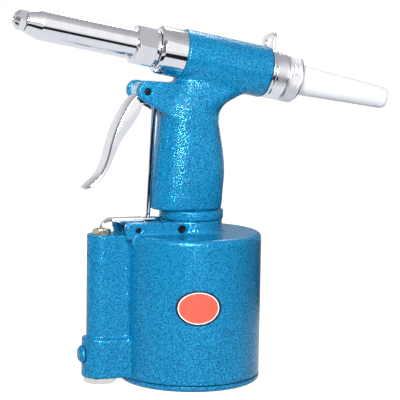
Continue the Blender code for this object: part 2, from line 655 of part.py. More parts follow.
def trigger():
    """A bent sheet with side flanges that are deepest below the hub and fade towards the finger tip."""
    front = trigger_front()
    depth_shares = (0, 0, 0.143, 0.1145, 0.084, 0.064, 0.0505, 0.0438, 0.0404, 0.027)
    back = [offset_path(front, -share * TRIGGER_DROP)[i] for i, share in enumerate(depth_shares)][2:]
    hub = TRIGGER_HUB_RADIUS
    tongue_top, tongue_foot = -TONGUE_DROP, -TONGUE_DROP - TONGUE_THICK
    tongue_end = TONGUE_REACH + 1.2 * ROD_BALL_RADIUS
    outline = [*reversed(front[1:]), *arc((0, 0), hub, 150, 10, 7), (1.08 * hub, tongue_top),
               (tongue_end, tongue_top), (tongue_end, tongue_foot),
               (0.77 * hub, tongue_foot - TONGUE_THICK), (-0.19 * hub, -0.19 * TRIGGER_DROP), *back]
    body = plate("trigger", outline, TRIGGER_WIDTH, CHROME, TRIGGER_AXIS)
    channel_end = tuple(0.3 * a + 0.7 * b for a, b in zip(front[5], front[6]))
    channel_path = [*front[1:6], channel_end]
    inner = offset_path(channel_path, -TRIGGER_SHEET)
    beyond = offset_path(channel_path, -0.27 * TRIGGER_DROP)
    hollow = plate("trigger_hollow", [*inner, *reversed(beyond)], TRIGGER_WIDTH - 2 * TRIGGER_SHEET, None,
                   TRIGGER_AXIS)
    hub_keep = block("trigger_hub_keep", (-2 * hub, -TRIGGER_WIDTH, -1.6 * hub),
                     (4 * hub, TRIGGER_WIDTH, 4 * hub), None, TRIGGER_AXIS)
    cut(hollow, hub_keep)
    fork = block("tongue_fork", (TONGUE_REACH - FORK_SLOT / 2 - FORK_SWING, -FORK_SLOT / 2,
                                 -4 * TONGUE_THICK),
                 (2 * tongue_end, FORK_SLOT / 2, 3 * TONGUE_THICK), None, TRIGGER_AXIS)
    hole = across_y("trigger_hole", TRIGGER_PIN_RADIUS + GAP, TRIGGER_WIDTH, 0, 0, None, 20, TRIGGER_AXIS)
    cut(body, hollow, fork, hole)
    across_y("trigger_pin", TRIGGER_PIN_RADIUS, EAR_WIDTH / 2 - 3 * GAP, 0, 0, STEEL, 20, TRIGGER_AXIS)


def pull_rod():
    """Rod with a ball head on the trigger's tongue and a domed nut under the lever's fork."""
    foot, head = pull_rod_line()
    lean = math.atan2(head.x - foot.x, head.z - foot.z)
    length = (head - foot).length
    sit = math.sqrt(ROD_BALL_RADIUS ** 2 - (FORK_SLOT / 2) ** 2) + 0.4 * MM
    ball = arc((0, length + sit), ROD_BALL_RADIUS, 90,
               -90 + math.degrees(math.asin(ROD_RADIUS / ROD_BALL_RADIUS)), 8)
    nut_top = nut_centre_z() + ROD_BALL_RADIUS - FOOT_Z
    tail = nut_top - 2 * ROD_BALL_RADIUS - 1 * MM
    profile = [(0, length + sit + ROD_BALL_RADIUS), *ball[1:], (ROD_RADIUS, tail), (0, tail)]
    turned("pull_rod", profile, STEEL, None, 16, foot, (0, lean, 0))
    dome = arc((0, nut_centre_z() - FOOT_Z), ROD_BALL_RADIUS, 52, -40, 6)
    bore = ROD_RADIUS + GAP
    turned("pull_rod_nut", [*dome, (bore, dome[-1][1]), (bore, dome[0][1])], STEEL, None, 16, foot,
           (0, lean, 0))


def nut_centre_z():
    """Height of the domed nut: under the lever's fork with a clearance."""
    return CROWN_Z + LEVER_TOP - LEVER_SHEET - ROD_BALL_RADIUS - GAP


# Valve lever: a bent channel that rocks on its pin
def valve_lever():
    """Sizes are from the pin: a flat top that ends in a fork, and a nose that hooks down to the pusher."""
    top = LEVER_TOP - LEVER_RISE
    fork_end = ROD_FOOT_X - LEVER_X + 2.3 * ROD_RADIUS
    nose_x = VALVE_X - LEVER_X - LEVER_NOSE_REACH
    tip_z = pusher_top() + 2 * GAP - LEVER_Z
    centre = (nose_x + LEVER_BEND, top - LEVER_BEND)
    inner_bend = LEVER_BEND - LEVER_SHEET
    tip_angle = 180 - math.degrees(math.asin((tip_z - centre[1]) / LEVER_BEND))
    outer = arc(centre, LEVER_BEND, 90, tip_angle, 7)
    inner = arc(centre, inner_bend, tip_angle, 90, 7)
    flange_low = LEVER_CLEAR - LEVER_RISE
    ear_front, ear_back = -2 * LEVER_PIN_RADIUS, 2.2 * LEVER_PIN_RADIUS
    outline = [(fork_end, top), *outer, *inner, (ear_front, flange_low), (ear_back, flange_low),
               (ear_back + LEVER_SHEET, top - 1.1 * LEVER_SHEET), (fork_end, top - LEVER_SHEET)]
    lever = plate("valve_lever", list(reversed(outline)), LEVER_WIDTH, CHROME, LEVER_AXIS)
    inner_width = LEVER_WIDTH - 2 * LEVER_SHEET
    channel = block("lever_channel", (centre[0] - 0.1 * LEVER_BEND, -inner_width / 2, 2 * flange_low),
                    (ear_back + 2 * LEVER_SHEET, inner_width / 2, top - 1.05 * LEVER_SHEET), None, LEVER_AXIS)
    slot = block("lever_fork", (ROD_FOOT_X - LEVER_X - FORK_SLOT, -FORK_SLOT / 2, top - 3 * LEVER_SHEET),
                 (2 * fork_end, FORK_SLOT / 2, top + LEVER_SHEET), None, LEVER_AXIS)
    sides = [nose_side(f"lever_nose_side_{i}", sign, centre[0], nose_x) for i, sign in enumerate((-1, 1))]
    hole = across_y("lever_hole", LEVER_PIN_RADIUS + GAP, LEVER_WIDTH, 0, 0, None, 16, LEVER_AXIS)
    cut(lever, channel, slot, hole, *sides)
    across_y("lever_pin", LEVER_PIN_RADIUS, BRACKET_HALF_WIDTH - 3 * GAP, 0, 0, STEEL, 16, LEVER_AXIS)


def nose_side(name, sign, wide_x, narrow_x):
    """What is cut from one side of the lever's nose to narrow it towards its tip."""
    half, tip = LEVER_WIDTH, LEVER_NOSE_WIDTH / 2
    shoulder = wide_x + 0.64 * (narrow_x - wide_x)
    beyond = narrow_x - LEVER_SHEET
    wide_x = wide_x + 1.1 * (wide_x - shoulder)
    plan = [(wide_x, sign * half), (shoulder, sign * tip), (beyond, sign * tip), (beyond, sign * half)]
    return plate(name, plan, 4 * LEVER_BEND, None, LEVER_AXIS, False)


def pusher_top():
    return CROWN_Z + GAP + GLAND_HEAD - PUSHER_SUNK + PUSHER_RADIUS * 0.6


# Valve inside the block: gland, pusher, seat, poppet, spring, inlet bushing and plug
def valve():
    gland_foot = CROWN_Z + GAP
    gland_top = gland_foot + GLAND_HEAD
    stem = VALVE_BORE_RADIUS - GAP
    guide = PUSHER_RADIUS + GAP
    gland = hexagon("valve_gland", GLAND_HEX, gland_top, gland_foot, BRASS, VALVE_AXIS)
    gland_stem = rod("gland_stem", stem, gland_foot + 1 * MM, gland_foot - GLAND_STEM, None, VALVE_AXIS)
    gland_bore = rod("gland_bore", guide, gland_top + 1 * MM, gland_foot - GLAND_STEM - 1 * MM, None,
                     VALVE_AXIS, 20)
    gland_mouth = rod("gland_mouth", GLAND_MOUTH_RADIUS, gland_top + 1 * MM, gland_top - GLAND_MOUTH_DEPTH,
                      None, VALVE_AXIS, 20)
    join(gland, gland_stem)
    cut(gland, gland_bore, gland_mouth)

    dome = pusher_top()
    pusher_end = dome - PUSHER_LENGTH
    edge = gland_top - PUSHER_SUNK
    turned("valve_pusher", [(0, dome), (PUSHER_RADIUS * 0.62, dome - 0.35 * MM), (PUSHER_RADIUS, edge),
                            (PUSHER_RADIUS, pusher_end), (0, pusher_end)], STEEL, VALVE_AXIS, 16)

    poppet_top = pusher_end - GAP
    seat_foot = poppet_top - POPPET_LENGTH * 0.3
    tube("valve_seat", stem, SEAT_BORE_RADIUS, seat_foot + SEAT_HEIGHT, seat_foot, BRASS, VALVE_AXIS, 20)
    neck = SEAT_BORE_RADIUS - 2 * GAP
    disc_top = seat_foot - GAP
    poppet_foot = disc_top - POPPET_LENGTH
    turned("valve_poppet", [(0, poppet_top), (neck, poppet_top), (neck, disc_top),
                            (POPPET_RADIUS, disc_top),
                            (POPPET_RADIUS, poppet_foot), (0, poppet_foot)], RUBBER, VALVE_AXIS, 20)

    bushing_top = BOSS_BOTTOM + INLET_STEM_LENGTH
    coil("valve_spring", POPPET_RADIUS - VALVE_SPRING_WIRE, VALVE_SPRING_WIRE, bushing_top + GAP,
         poppet_foot - GAP, VALVE_SPRING_TURNS, STEEL, VALVE_AXIS)

    bushing = hexagon("inlet_bushing", INLET_HEX, BOSS_BOTTOM - GAP, INLET_FOOT, CHROME, VALVE_AXIS)
    bushing_stem = rod("inlet_stem", INLET_STEM_RADIUS, bushing_top, BOSS_BOTTOM - 1 * MM, None, VALVE_AXIS,
                       SMALL)
    ledge = bushing_top - 2 * MM
    mouth = turned("inlet_mouth", [(0, bushing_top + 1 * MM),
                                   (POPPET_RADIUS - 2 * VALVE_SPRING_WIRE, bushing_top + 1 * MM),
                                   (POPPET_RADIUS - 2 * VALVE_SPRING_WIRE, ledge),
                                   (INLET_BORE_RADIUS, ledge),
                                   (INLET_BORE_RADIUS, INLET_FOOT - 1 * MM), (0, INLET_FOOT - 1 * MM)],
                   None, VALVE_AXIS, SMALL)
    join(bushing, bushing_stem)
    cut(bushing, mouth)

    face = BOSS_RADIUS + PLUG_PROUD
    shank = BOSS_RADIUS - 1.2 * MM + GAP
    bevel = PLUG_PROUD * 0.7
    turned("passage_plug", [(0, face), (PLUG_RADIUS - bevel, face), (PLUG_RADIUS, face - bevel),
                            (PLUG_RADIUS, shank),
                            (PLUG_STEM_RADIUS, shank), (PLUG_STEM_RADIUS, BOSS_RADIUS - PLUG_STEM_LENGTH),
                            (0, BOSS_RADIUS - PLUG_STEM_LENGTH)], PAINT, None, 20,
           (VALVE_X, 0, PLUG_HEIGHT), (0, -math.pi / 2, 0))


# Cylinder: bottom cover, piston, ram, their seals, lock ring and lock screw
def bottom_cover():
    rim = CYLINDER_RADIUS
    edge = 1.4 * MM
    spigot = BORE_RADIUS - GAP
    groove_low, groove_high = groove_span(COVER_RIM + GAP + COVER_SPIGOT / 2)
    groove = spigot - SEAL_SECTION
    turned("bottom_cover", [(0, COVER_TOP), (spigot, COVER_TOP), (spigot, groove_high),
                            (groove, groove_high),
                            (groove, groove_low), (spigot, groove_low), (spigot, COVER_RIM),
                            (rim, COVER_RIM),
                            (rim, edge), (rim - edge, 0), (0, 0)], PAINT, CYLINDER_AXIS, 48)
    seal_in_groove("bottom_cover_seal", spigot, COVER_RIM + GAP + COVER_SPIGOT / 2, CYLINDER_AXIS)


def groove_span(middle):
    """Bottom and top of a seal groove."""
    half = SEAL_SECTION / 2 + GAP
    return middle - half, middle + half


def seal_in_groove(name, wall_radius, middle, parent):
    """A seal ring that lies in a groove cut into a piece of this outer radius."""
    half = SEAL_SECTION / 2
    outer, inner = wall_radius, wall_radius - SEAL_SECTION + 2 * GAP
    side = half * 0.5
    turned(name, [(outer - side, middle + half), (outer, middle + side), (outer, middle - side),
                  (outer - side, middle - half), (inner, middle - half), (inner, middle + half)], RUBBER,
                  parent)


def air_piston():
    low, high = AIR_PISTON_Z, AIR_PISTON_Z + AIR_PISTON_THICK
    wall = BORE_RADIUS - RUN
    middle = (low + high) / 2
    groove_low, groove_high = groove_span(middle)
    groove = wall - SEAL_SECTION
    shank = RAM_RADIUS - 1.5 * MM
    hole = shank + GAP
    turned("air_piston", [(wall, high), (wall, groove_high), (groove, groove_high), (groove, groove_low),
                          (wall, groove_low), (wall, low), (hole, low), (hole, high)], STEEL, CYLINDER_AXIS,
                          ROUND)
    seal_in_groove("air_piston_seal", wall, middle, CYLINDER_AXIS)
    nut_top = high + GAP + RAM_NUT_THICK
    tail = low + 1 * MM
    turned("ram", [(0, FOOT_Z + RAM_TOP), (RAM_RADIUS - 0.8 * MM, FOOT_Z + RAM_TOP),
                   (RAM_RADIUS, FOOT_Z + RAM_TOP - 0.8 * MM), (RAM_RADIUS, nut_top + GAP),
                   (shank, nut_top + GAP), (shank, tail), (0, tail)], STEEL, CYLINDER_AXIS)
    nut = hexagon("ram_nut", RAM_NUT_HEX, nut_top, high + GAP, STEEL, CYLINDER_AXIS)
    cut(nut, rod("ram_nut_bore", hole, nut_top + 1 * MM, high - 1 * MM, None, CYLINDER_AXIS))


def ram_gland():
    """Brass bush and seal that close the oil bore round the ram."""
    foot = CROWN_Z - CROWN_THICK
    bore = RAM_RADIUS + GAP
    seal_foot = foot + RAM_GLAND_HEIGHT - SEAL_SECTION
    pocket = bore + SEAL_SECTION
    top = foot + RAM_GLAND_HEIGHT
    turned("ram_gland", [(RAM_GLAND_RADIUS, top), (RAM_GLAND_RADIUS, foot), (bore, foot), (bore, seal_foot),
                         (pocket, seal_foot), (pocket, top)], BRASS, CYLINDER_AXIS)
    tube("ram_seal", pocket - GAP, bore, top, seal_foot + GAP, RUBBER, CYLINDER_AXIS, SMALL)


def lock_ring():
    bore = GRIP_SPIGOT_RADIUS + GAP
    tube("lock_ring", LOCK_RING_DIA / 2, bore, LOCK_RING_Z + LOCK_RING_HEIGHT, LOCK_RING_Z, PAINT,
         CYLINDER_AXIS, ROUND, 0.8 * MM)
    seat = GRIP_SPIGOT_RADIUS + GAP
    nearest = max(-LOCK_SCREW_X - LOCK_SCREW_RADIUS, 0)
    start = math.sqrt(max(seat ** 2 - nearest ** 2, 0)) + GAP
    rod("lock_screw", LOCK_SCREW_RADIUS, -start, -start - LOCK_SCREW_LENGTH, STEEL, None, 16,
        (LOCK_SCREW_X, 0, LEVER_Z), (-math.pi / 2, 0, 0))


# Barrel: front gland, pull piston, spring, rear cap, hanger and collector
def front_gland():
    collar = COLLAR_DIA / 2
    spigot = BARREL_BORE_RADIUS - GAP
    bore = PISTON_ROD_RADIUS + RUN
    shoulder = BARREL_FRONT + GAP
    counterbore = NOSE_SPIGOT_RADIUS + GAP
    counter_depth = COLLAR_FACE - NOSE_SPIGOT - GAP
    pocket = bore + SEAL_SECTION
    seal_front = GLAND_BACK + SEAL_SECTION + 2 * GAP
    chamfer = 2 * MM
    turned("front_gland", [(collar - chamfer, COLLAR_FACE), (collar, COLLAR_FACE - chamfer),
                           (collar, shoulder),
                           (spigot, shoulder), (spigot, GLAND_BACK), (pocket, GLAND_BACK),
                           (pocket, seal_front),
                           (bore, seal_front), (bore, counter_depth), (counterbore, counter_depth),
                           (counterbore, COLLAR_FACE)], CHROME, BARREL_AXIS)
    tube("front_gland_seal", pocket - GAP, bore, seal_front - GAP, GLAND_BACK, RUBBER, BARREL_AXIS)


def pull_piston():
    head = BARREL_BORE_RADIUS - RUN
    middle = (PISTON_FRONT + PISTON_BACK) / 2
    groove_low, groove_high = groove_span(middle)
    groove = head - SEAL_SECTION
    rod_end = case_back() + CASE_TAIL
    thread = case_thread_radius()
    tail_end = REAR_CAP_BACK + 1 * MM
    bore = MANDREL_BORE_RADIUS
    turned("pull_piston", [(thread, rod_end), (thread, case_back() - GAP),
                           (PISTON_ROD_RADIUS, case_back() - GAP),
                           (PISTON_ROD_RADIUS, PISTON_FRONT), (head, PISTON_FRONT), (head, groove_high),
                           (groove, groove_high), (groove, groove_low), (head, groove_low),
                           (head, PISTON_BACK),
                           (PISTON_TAIL_RADIUS, PISTON_BACK), (PISTON_TAIL_RADIUS, tail_end),
                           (bore, tail_end), (bore, rod_end)], STEEL, BARREL_AXIS)
    seal_in_groove("pull_piston_seal", head, middle, BARREL_AXIS)
    spring_radius = (PISTON_TAIL_RADIUS + BARREL_BORE_RADIUS) / 2
    coil("return_spring", spring_radius, RETURN_SPRING_WIRE, SPIGOT_FRONT + GAP, PISTON_BACK - GAP,
         RETURN_SPRING_TURNS, STEEL, BARREL_AXIS)


def rear_cap():
    ring = REAR_RING_DIA / 2
    spigot = BARREL_BORE_RADIUS - GAP
    bore = PISTON_TAIL_RADIUS + RUN
    stub = tube_bore() - GAP
    stub_end = RING_FRONT - COLLECTOR_RING_LENGTH * 0.35
    edge = 0.8 * MM
    turned("rear_cap", [(spigot, SPIGOT_FRONT), (spigot, REAR_CAP_FRONT), (ring - edge, REAR_CAP_FRONT),
                        (ring, REAR_CAP_FRONT - edge), (ring, REAR_CAP_BACK + edge),
                        (ring - edge, REAR_CAP_BACK),
                        (stub, REAR_CAP_BACK), (stub, stub_end), (bore, stub_end), (bore, SPIGOT_FRONT)],
           CHROME, BARREL_AXIS)


def hanger_ring():
    """Washer with a hanging eye, held between barrel and rear cap."""
    ring = REAR_RING_DIA / 2
    top = BARREL_RADIUS + HANGER_TAB_HEIGHT
    half = HANGER_TAB_WIDTH / 2
    corner = 4 * MM
    side = math.degrees(math.acos(half / ring))
    outline = [(half, top - corner), *arc((half - corner, top - corner), corner, 0, 90, 4),
               *arc((corner - half, top - corner), corner, 90, 180, 4),
               *arc((0, 0), ring, 180 - side, 360 + side, 28)]
    middle = HANGER_FRONT - HANGER_THICK / 2
    washer = plate("hanger_ring", outline, HANGER_THICK, CHROME, BARREL_AXIS, False, middle, smooth=False)
    eye_low = BARREL_RADIUS + 0.8 * MM
    eye = HANGER_EYE_WIDTH / 2
    nook = HANGER_EYE_HEIGHT / 2
    slot_outline = [*arc((eye - nook, eye_low + nook), nook, -90, 90, 6),
                    *arc((nook - eye, eye_low + nook), nook, 90, 270, 6)]
    slot = plate("hanger_eye", slot_outline, 3 * HANGER_THICK, None, BARREL_AXIS, False, middle)
    bore = rod("hanger_bore", BARREL_BORE_RADIUS, HANGER_FRONT + 1 * MM, HANGER_FRONT - 3 * HANGER_THICK,
               None, BARREL_AXIS)
    cut(washer, slot, bore)
    # On the barrel's axis the tool's up is +X, so the tab, drawn along +Y, is turned back to it
    for piece in (washer, slot):
        piece.rotation_euler = (0, 0, -math.pi / 2 + HANGER_CLOCKING)


def tube_bore():
    """Radius inside the mouth of the collector tube."""
    return TUBE_MOUTH_RADIUS - TUBE_WALL


def collector():
    ring = REAR_RING_DIA / 2
    flange = TUBE_MOUTH_RADIUS + TUBE_FLANGE
    seat = RING_FRONT - COLLECTOR_RING_LENGTH * 0.45
    lip = seat - TUBE_FLANGE - GAP
    edge = 0.8 * MM
    turned("collector_ring", [(ring - edge, RING_FRONT), (ring, RING_FRONT - edge),
                              (ring, RING_BACK + 2 * edge),
                              (ring - 2 * edge, RING_BACK), (TUBE_MOUTH_RADIUS + RUN, RING_BACK),
                              (TUBE_MOUTH_RADIUS + RUN, lip), (flange + RUN, lip),
                              (flange + RUN, RING_FRONT)],
           CHROME, BARREL_AXIS)
    end = RING_BACK - TUBE_LENGTH
    round_end = 2.5 * MM
    corner = [*arc((TUBE_END_RADIUS - round_end, end + round_end), round_end, 0, -90, 4), (0, end)]
    inner_end = end + TUBE_WALL
    mouth_front = RING_FRONT - GAP
    turned("collector_tube", [(0, inner_end), (TUBE_END_RADIUS - TUBE_WALL, inner_end),
                              (tube_bore(), RING_BACK), (tube_bore(), mouth_front), (flange, mouth_front),
                              (flange, seat - TUBE_FLANGE),
                              (TUBE_MOUTH_RADIUS, seat - TUBE_FLANGE), (TUBE_MOUTH_RADIUS, RING_BACK),
                              *corner],
           CLEAR, BARREL_AXIS)


# Nose: housing, nosepiece, jaw case, jaws, pusher and spring
def nose_housing():
    outer, bore = NOSE_DIA / 2, NOSE_BORE_RADIUS
    foot = COLLAR_FACE + GAP
    ring_end = foot + NOSE_COLLAR_LENGTH
    hex_end = ring_end + NOSE_HEX_LENGTH
    cone = NOSE_TIP - CONE_LENGTH
    ring_radius = NOSE_HEX / 2
    stem_hole = NOSEPIECE_STEM_RADIUS + GAP
    web = NOSE_TIP - CONE_LENGTH * 0.75
    spigot_foot = foot - NOSE_SPIGOT
    housing = turned("nose_housing", [(CONE_TIP_RADIUS, NOSE_TIP), (outer, cone), (outer, ring_end),
                                      (ring_radius, ring_end), (ring_radius, foot),
                                      (NOSE_SPIGOT_RADIUS, foot),
                                      (NOSE_SPIGOT_RADIUS, spigot_foot), (bore, spigot_foot), (bore, web),
                                      (stem_hole, web), (stem_hole, NOSE_TIP)], CHROME, BARREL_AXIS)
    hexed = hexagon("nose_hex", NOSE_HEX, hex_end, ring_end - 0.5 * MM, None, BARREL_AXIS, 90)
    core = rod("nose_hex_core", (outer + bore) / 2, hex_end + 1 * MM, ring_end - 1 * MM, None, BARREL_AXIS)
    cut(hexed, core)
    join(housing, hexed)

    tip = NOSE_TIP + GAP
    head_end = tip + NOSEPIECE_HEAD
    face = head_end + NOSEPIECE_TIP
    piece = hexagon("nosepiece", NOSEPIECE_HEX, head_end, tip, STEEL, BARREL_AXIS, 90)
    corner = NOSEPIECE_HEX / 2
    nib = turned("nosepiece_tip", [(0, face), (NOSEPIECE_TIP_RADIUS, face), (corner, head_end - 0.5 * MM),
                                   (corner, tip + 0.5 * MM), (NOSEPIECE_STEM_RADIUS, tip + 0.5 * MM),
                                   (NOSEPIECE_STEM_RADIUS, tip - NOSEPIECE_STEM),
                                   (0, tip - NOSEPIECE_STEM)], None, BARREL_AXIS)
    hole = rod("nosepiece_bore", NOSEPIECE_BORE_RADIUS, face + 1 * MM, tip - NOSEPIECE_STEM - 1 * MM, None,
               BARREL_AXIS, 16)
    join(piece, nib)
    cut(piece, hole)
    piece.data.materials[0] = CHROME


def case_front():
    """Front face of the jaw case, just behind the nosepiece's stem."""
    return NOSE_TIP - CONE_LENGTH * 0.75 - 2 * GAP - 1 * MM


def case_back():
    return case_front() - JAW_CASE_LENGTH


def case_thread_radius():
    return PISTON_ROD_RADIUS - 1.4 * MM


def jaw_front():
    """Front of the jaws, which rest against the nosepiece's stem."""
    return NOSE_TIP + GAP - NOSEPIECE_STEM - GAP


def jaws():
    front, back = case_front(), case_back()
    thread = case_thread_radius() + GAP
    cone_end = jaw_front() - JAW_LENGTH
    shelf = back + CASE_TAIL
    turned("jaw_case", [(JAW_CASE_RADIUS - 1 * MM, front), (JAW_CASE_RADIUS, front - 1 * MM),
                        (JAW_CASE_RADIUS, back),
                        (thread, back), (thread, shelf), (JAW_CASE_BORE_RADIUS, shelf),
                        (JAW_CASE_BORE_RADIUS, cone_end), (JAW_MOUTH_RADIUS, front)], STEEL, BARREL_AXIS)
    slope = (JAW_CASE_BORE_RADIUS - JAW_MOUTH_RADIUS) / (front - cone_end)
    wide = JAW_CASE_BORE_RADIUS - 2 * GAP
    narrow = wide - slope * JAW_LENGTH
    inner = NOSEPIECE_BORE_RADIUS
    for i in range(JAW_COUNT):
        ring = turned(f"jaw_{i + 1}", [(narrow, jaw_front()), (wide, cone_end + GAP),
                                       (inner, cone_end + GAP),
                                       (inner, jaw_front())], STEEL, BARREL_AXIS, SMALL)
        share = 2 * math.pi / JAW_COUNT
        reach = 2 * JAW_CASE_RADIUS
        half = share / 2 - JAW_SPLIT / 2 / JAW_CASE_BORE_RADIUS
        wedge_plan = [(0.3 * MM, 0), (reach * math.cos(half), reach * math.sin(half)), (2 * reach, 0),
                      (reach * math.cos(half), -reach * math.sin(half))]
        wedge = plate(f"jaw_wedge_{i + 1}", wedge_plan, 2 * JAW_LENGTH, None, BARREL_AXIS, False,
                      jaw_front() - JAW_LENGTH / 2)
        wedge.rotation_euler = (0, 0, share * i)
        change(ring, "INTERSECT", wedge)
    pusher_front = cone_end
    pusher_end = pusher_front - PUSHER_TUBE_LENGTH
    wall = JAW_CASE_BORE_RADIUS - RUN
    stem = MANDREL_BORE_RADIUS + 1.3 * MM
    turned("jaw_pusher", [(wall, pusher_front), (wall, pusher_front - 3 * MM),
                          (stem, pusher_front - 3 * MM),
                          (stem, pusher_end), (MANDREL_BORE_RADIUS, pusher_end),
                          (MANDREL_BORE_RADIUS, pusher_front)],
           STEEL, BARREL_AXIS, SMALL)
    coil("jaw_spring", (wall + stem) / 2, JAW_SPRING_WIRE, shelf + GAP, pusher_front - 3 * MM - GAP,
         JAW_SPRING_TURNS, STEEL, BARREL_AXIS)


cylinder_casting()
handle_casting()
oil_screw()
trigger()
pull_rod()
valve_lever()
valve()
bottom_cover()
air_piston()
ram_gland()
lock_ring()
front_gland()
pull_piston()
rear_cap()
hanger_ring()
collector()
nose_housing()
jaws()
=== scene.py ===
# %% [markdown]
# # An air-hydraulic blind rivet gun
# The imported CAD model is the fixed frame: its bodies, joints and sizes. Each cell below makes one visible
# piece of the tool, or one finish, and leaves the inner pieces of the frame where they are with a better
# material.

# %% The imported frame
import json
import math

import bmesh
import bpy
import numpy as np
from mathutils import Matrix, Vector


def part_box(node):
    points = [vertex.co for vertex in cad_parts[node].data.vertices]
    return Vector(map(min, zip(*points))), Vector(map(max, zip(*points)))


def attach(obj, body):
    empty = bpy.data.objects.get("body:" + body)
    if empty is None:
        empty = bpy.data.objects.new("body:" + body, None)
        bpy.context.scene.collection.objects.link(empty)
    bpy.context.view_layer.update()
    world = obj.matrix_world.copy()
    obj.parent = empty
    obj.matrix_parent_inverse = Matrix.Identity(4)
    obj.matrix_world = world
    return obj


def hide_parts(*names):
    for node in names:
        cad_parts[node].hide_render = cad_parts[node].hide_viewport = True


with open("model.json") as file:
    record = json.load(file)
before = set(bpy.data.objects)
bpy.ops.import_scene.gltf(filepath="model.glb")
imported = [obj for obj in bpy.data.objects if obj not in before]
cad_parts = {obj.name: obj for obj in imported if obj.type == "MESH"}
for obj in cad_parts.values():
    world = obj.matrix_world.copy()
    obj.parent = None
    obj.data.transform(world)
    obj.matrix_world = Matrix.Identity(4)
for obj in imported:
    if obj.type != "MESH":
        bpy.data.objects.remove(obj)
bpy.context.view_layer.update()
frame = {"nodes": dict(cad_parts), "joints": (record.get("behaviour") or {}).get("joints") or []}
nodes = frame["nodes"]
joints = {joint["name"]: joint for joint in frame["joints"]}
MM = 0.001  # metres; shapes are worked out in millimetres and become metres in the finished meshes

# %% [markdown]
# ## Measuring the frame
# The tool has three main axes: the tilted barrel, the upright air cylinder and the upright valve beside it.
# The barrel's direction is the axis of the pull stroke, so it is read from the joint. Every later size
# starts from what a node measures along or around one of these axes.

# %% Axes and node sizes
def joint_place(name):
    """Where a joint's axis passes, in millimetres."""
    return np.array(joints[name]["pos_m"]) / MM


def corners(node):
    """Lowest and highest corner of a node's box."""
    return np.array(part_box(node)) / MM


NOSEWARD = -np.array(joints["pull_stroke"]["axis"])
FAR = np.array([0.0, 1.0, 0.0])
UPWARD = np.cross(FAR, NOSEWARD)
on_axis = joint_place("collector_ring_turn")
BARREL_ORIGIN = on_axis - NOSEWARD * on_axis[0] / NOSEWARD[0]


def read(collection, key, width, kind=np.float32):
    """One property of all items of a mesh, as rows of a width."""
    flat = np.empty(len(collection) * width, kind)
    collection.foreach_get(key, flat)
    return flat.reshape(-1, width)


def mesh_points(mesh):
    """All vertices of a mesh as rows of x, y, z in millimetres."""
    return read(mesh.vertices, "co", 3).astype(float) / MM


def points_of(node):
    """All vertices of a CAD node."""
    return mesh_points(nodes[node].data)


def barrel_coordinates(points):
    """World points as (up, far, noseward) in the barrel's own frame."""
    return (points - BARREL_ORIGIN) @ np.stack([UPWARD, FAR, NOSEWARD], axis=1)


def on_barrel(local):
    """Barrel coordinates back to world points."""
    return BARREL_ORIGIN + local @ np.stack([UPWARD, FAR, NOSEWARD])


def stations(node):
    """Rear end, front end and largest radius of a node along the barrel's axis."""
    local = barrel_coordinates(points_of(node))
    return local[:, 2].min(), local[:, 2].max(), np.hypot(local[:, 0], local[:, 1]).max()


def upright(node):
    """Bottom, top, middle x and half the depth of a node that stands on Z."""
    low, high = corners(node)
    return low[2], high[2], (low[0] + high[0]) / 2, (high[1] - low[1]) / 2


print("barrel axis through", np.round(BARREL_ORIGIN, 1).tolist(), "towards", np.round(NOSEWARD, 3).tolist())

# %% [markdown]
# ## From numbers to a mesh
# A surface is a grid of points worked out as one array. These helpers join the grid's neighbours into
# faces of four sides, weld seams and poles, and hang the finished piece on the body that it moves with.

# %% Mesh helpers
def grid_faces(rows, columns):
    """Quads between neighbours of a grid whose last column joins the first."""
    row, column = np.meshgrid(np.arange(rows - 1), np.arange(columns), indexing="ij")
    following = (column + 1) % columns
    quads = [row * columns + column, row * columns + following,
             (row + 1) * columns + following, (row + 1) * columns + column]
    return np.stack(quads, axis=-1).reshape(-1, 4)


def raw_mesh(name, points, faces):
    """A mesh from an array of points in millimetres and an array of equally sized faces."""
    mesh = bpy.data.meshes.new(name)
    mesh.vertices.add(len(points))
    mesh.vertices.foreach_set("co", np.asarray(points * MM, np.float32).ravel())
    mesh.loops.add(faces.size)
    mesh.loops.foreach_set("vertex_index", faces.ravel().astype(np.int32))
    mesh.polygons.add(len(faces))
    mesh.polygons.foreach_set("loop_start", np.arange(0, faces.size, faces.shape[1], dtype=np.int32))
    mesh.update(calc_edges=True)
    mesh.validate()
    return mesh


def tidy_mesh(mesh, sharp_degrees):
    """Welds doubles, drops empty faces, turns the shell outwards and shades it smooth below an angle."""
    shape = bmesh.new()
    shape.from_mesh(mesh)
    bmesh.ops.remove_doubles(shape, verts=shape.verts, dist=2e-6)
    bmesh.ops.dissolve_degenerate(shape, edges=shape.edges, dist=1e-7)
    bmesh.ops.recalc_face_normals(shape, faces=shape.faces)
    shape.to_mesh(mesh)
    shape.free()
    mesh.shade_smooth()
    mesh.set_sharp_from_angle(angle=math.radians(sharp_degrees))


def piece(name, mesh, finish, body, slot, *replaced, sharp_degrees=35):
    """A finished piece: tidied, painted, riding on its body and standing for CAD nodes."""
    tidy_mesh(mesh, sharp_degrees)
    made = bpy.data.objects.new(name, mesh)
    bpy.context.scene.collection.objects.link(made)
    mesh.materials.append(finish)
    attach(made, body)
    if replaced:
        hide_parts(*replaced)
    print(name, len(mesh.polygons), "faces")
    return made


print("mesh helpers ready")

# %% [markdown]
# ## Turned parts
# Most bright parts of the tool come off a lathe. A lathe part is a profile of (radius, station) spun about
# an axis. Its corners are given small radii, because no real edge is perfectly sharp and the small round
# catches the light.

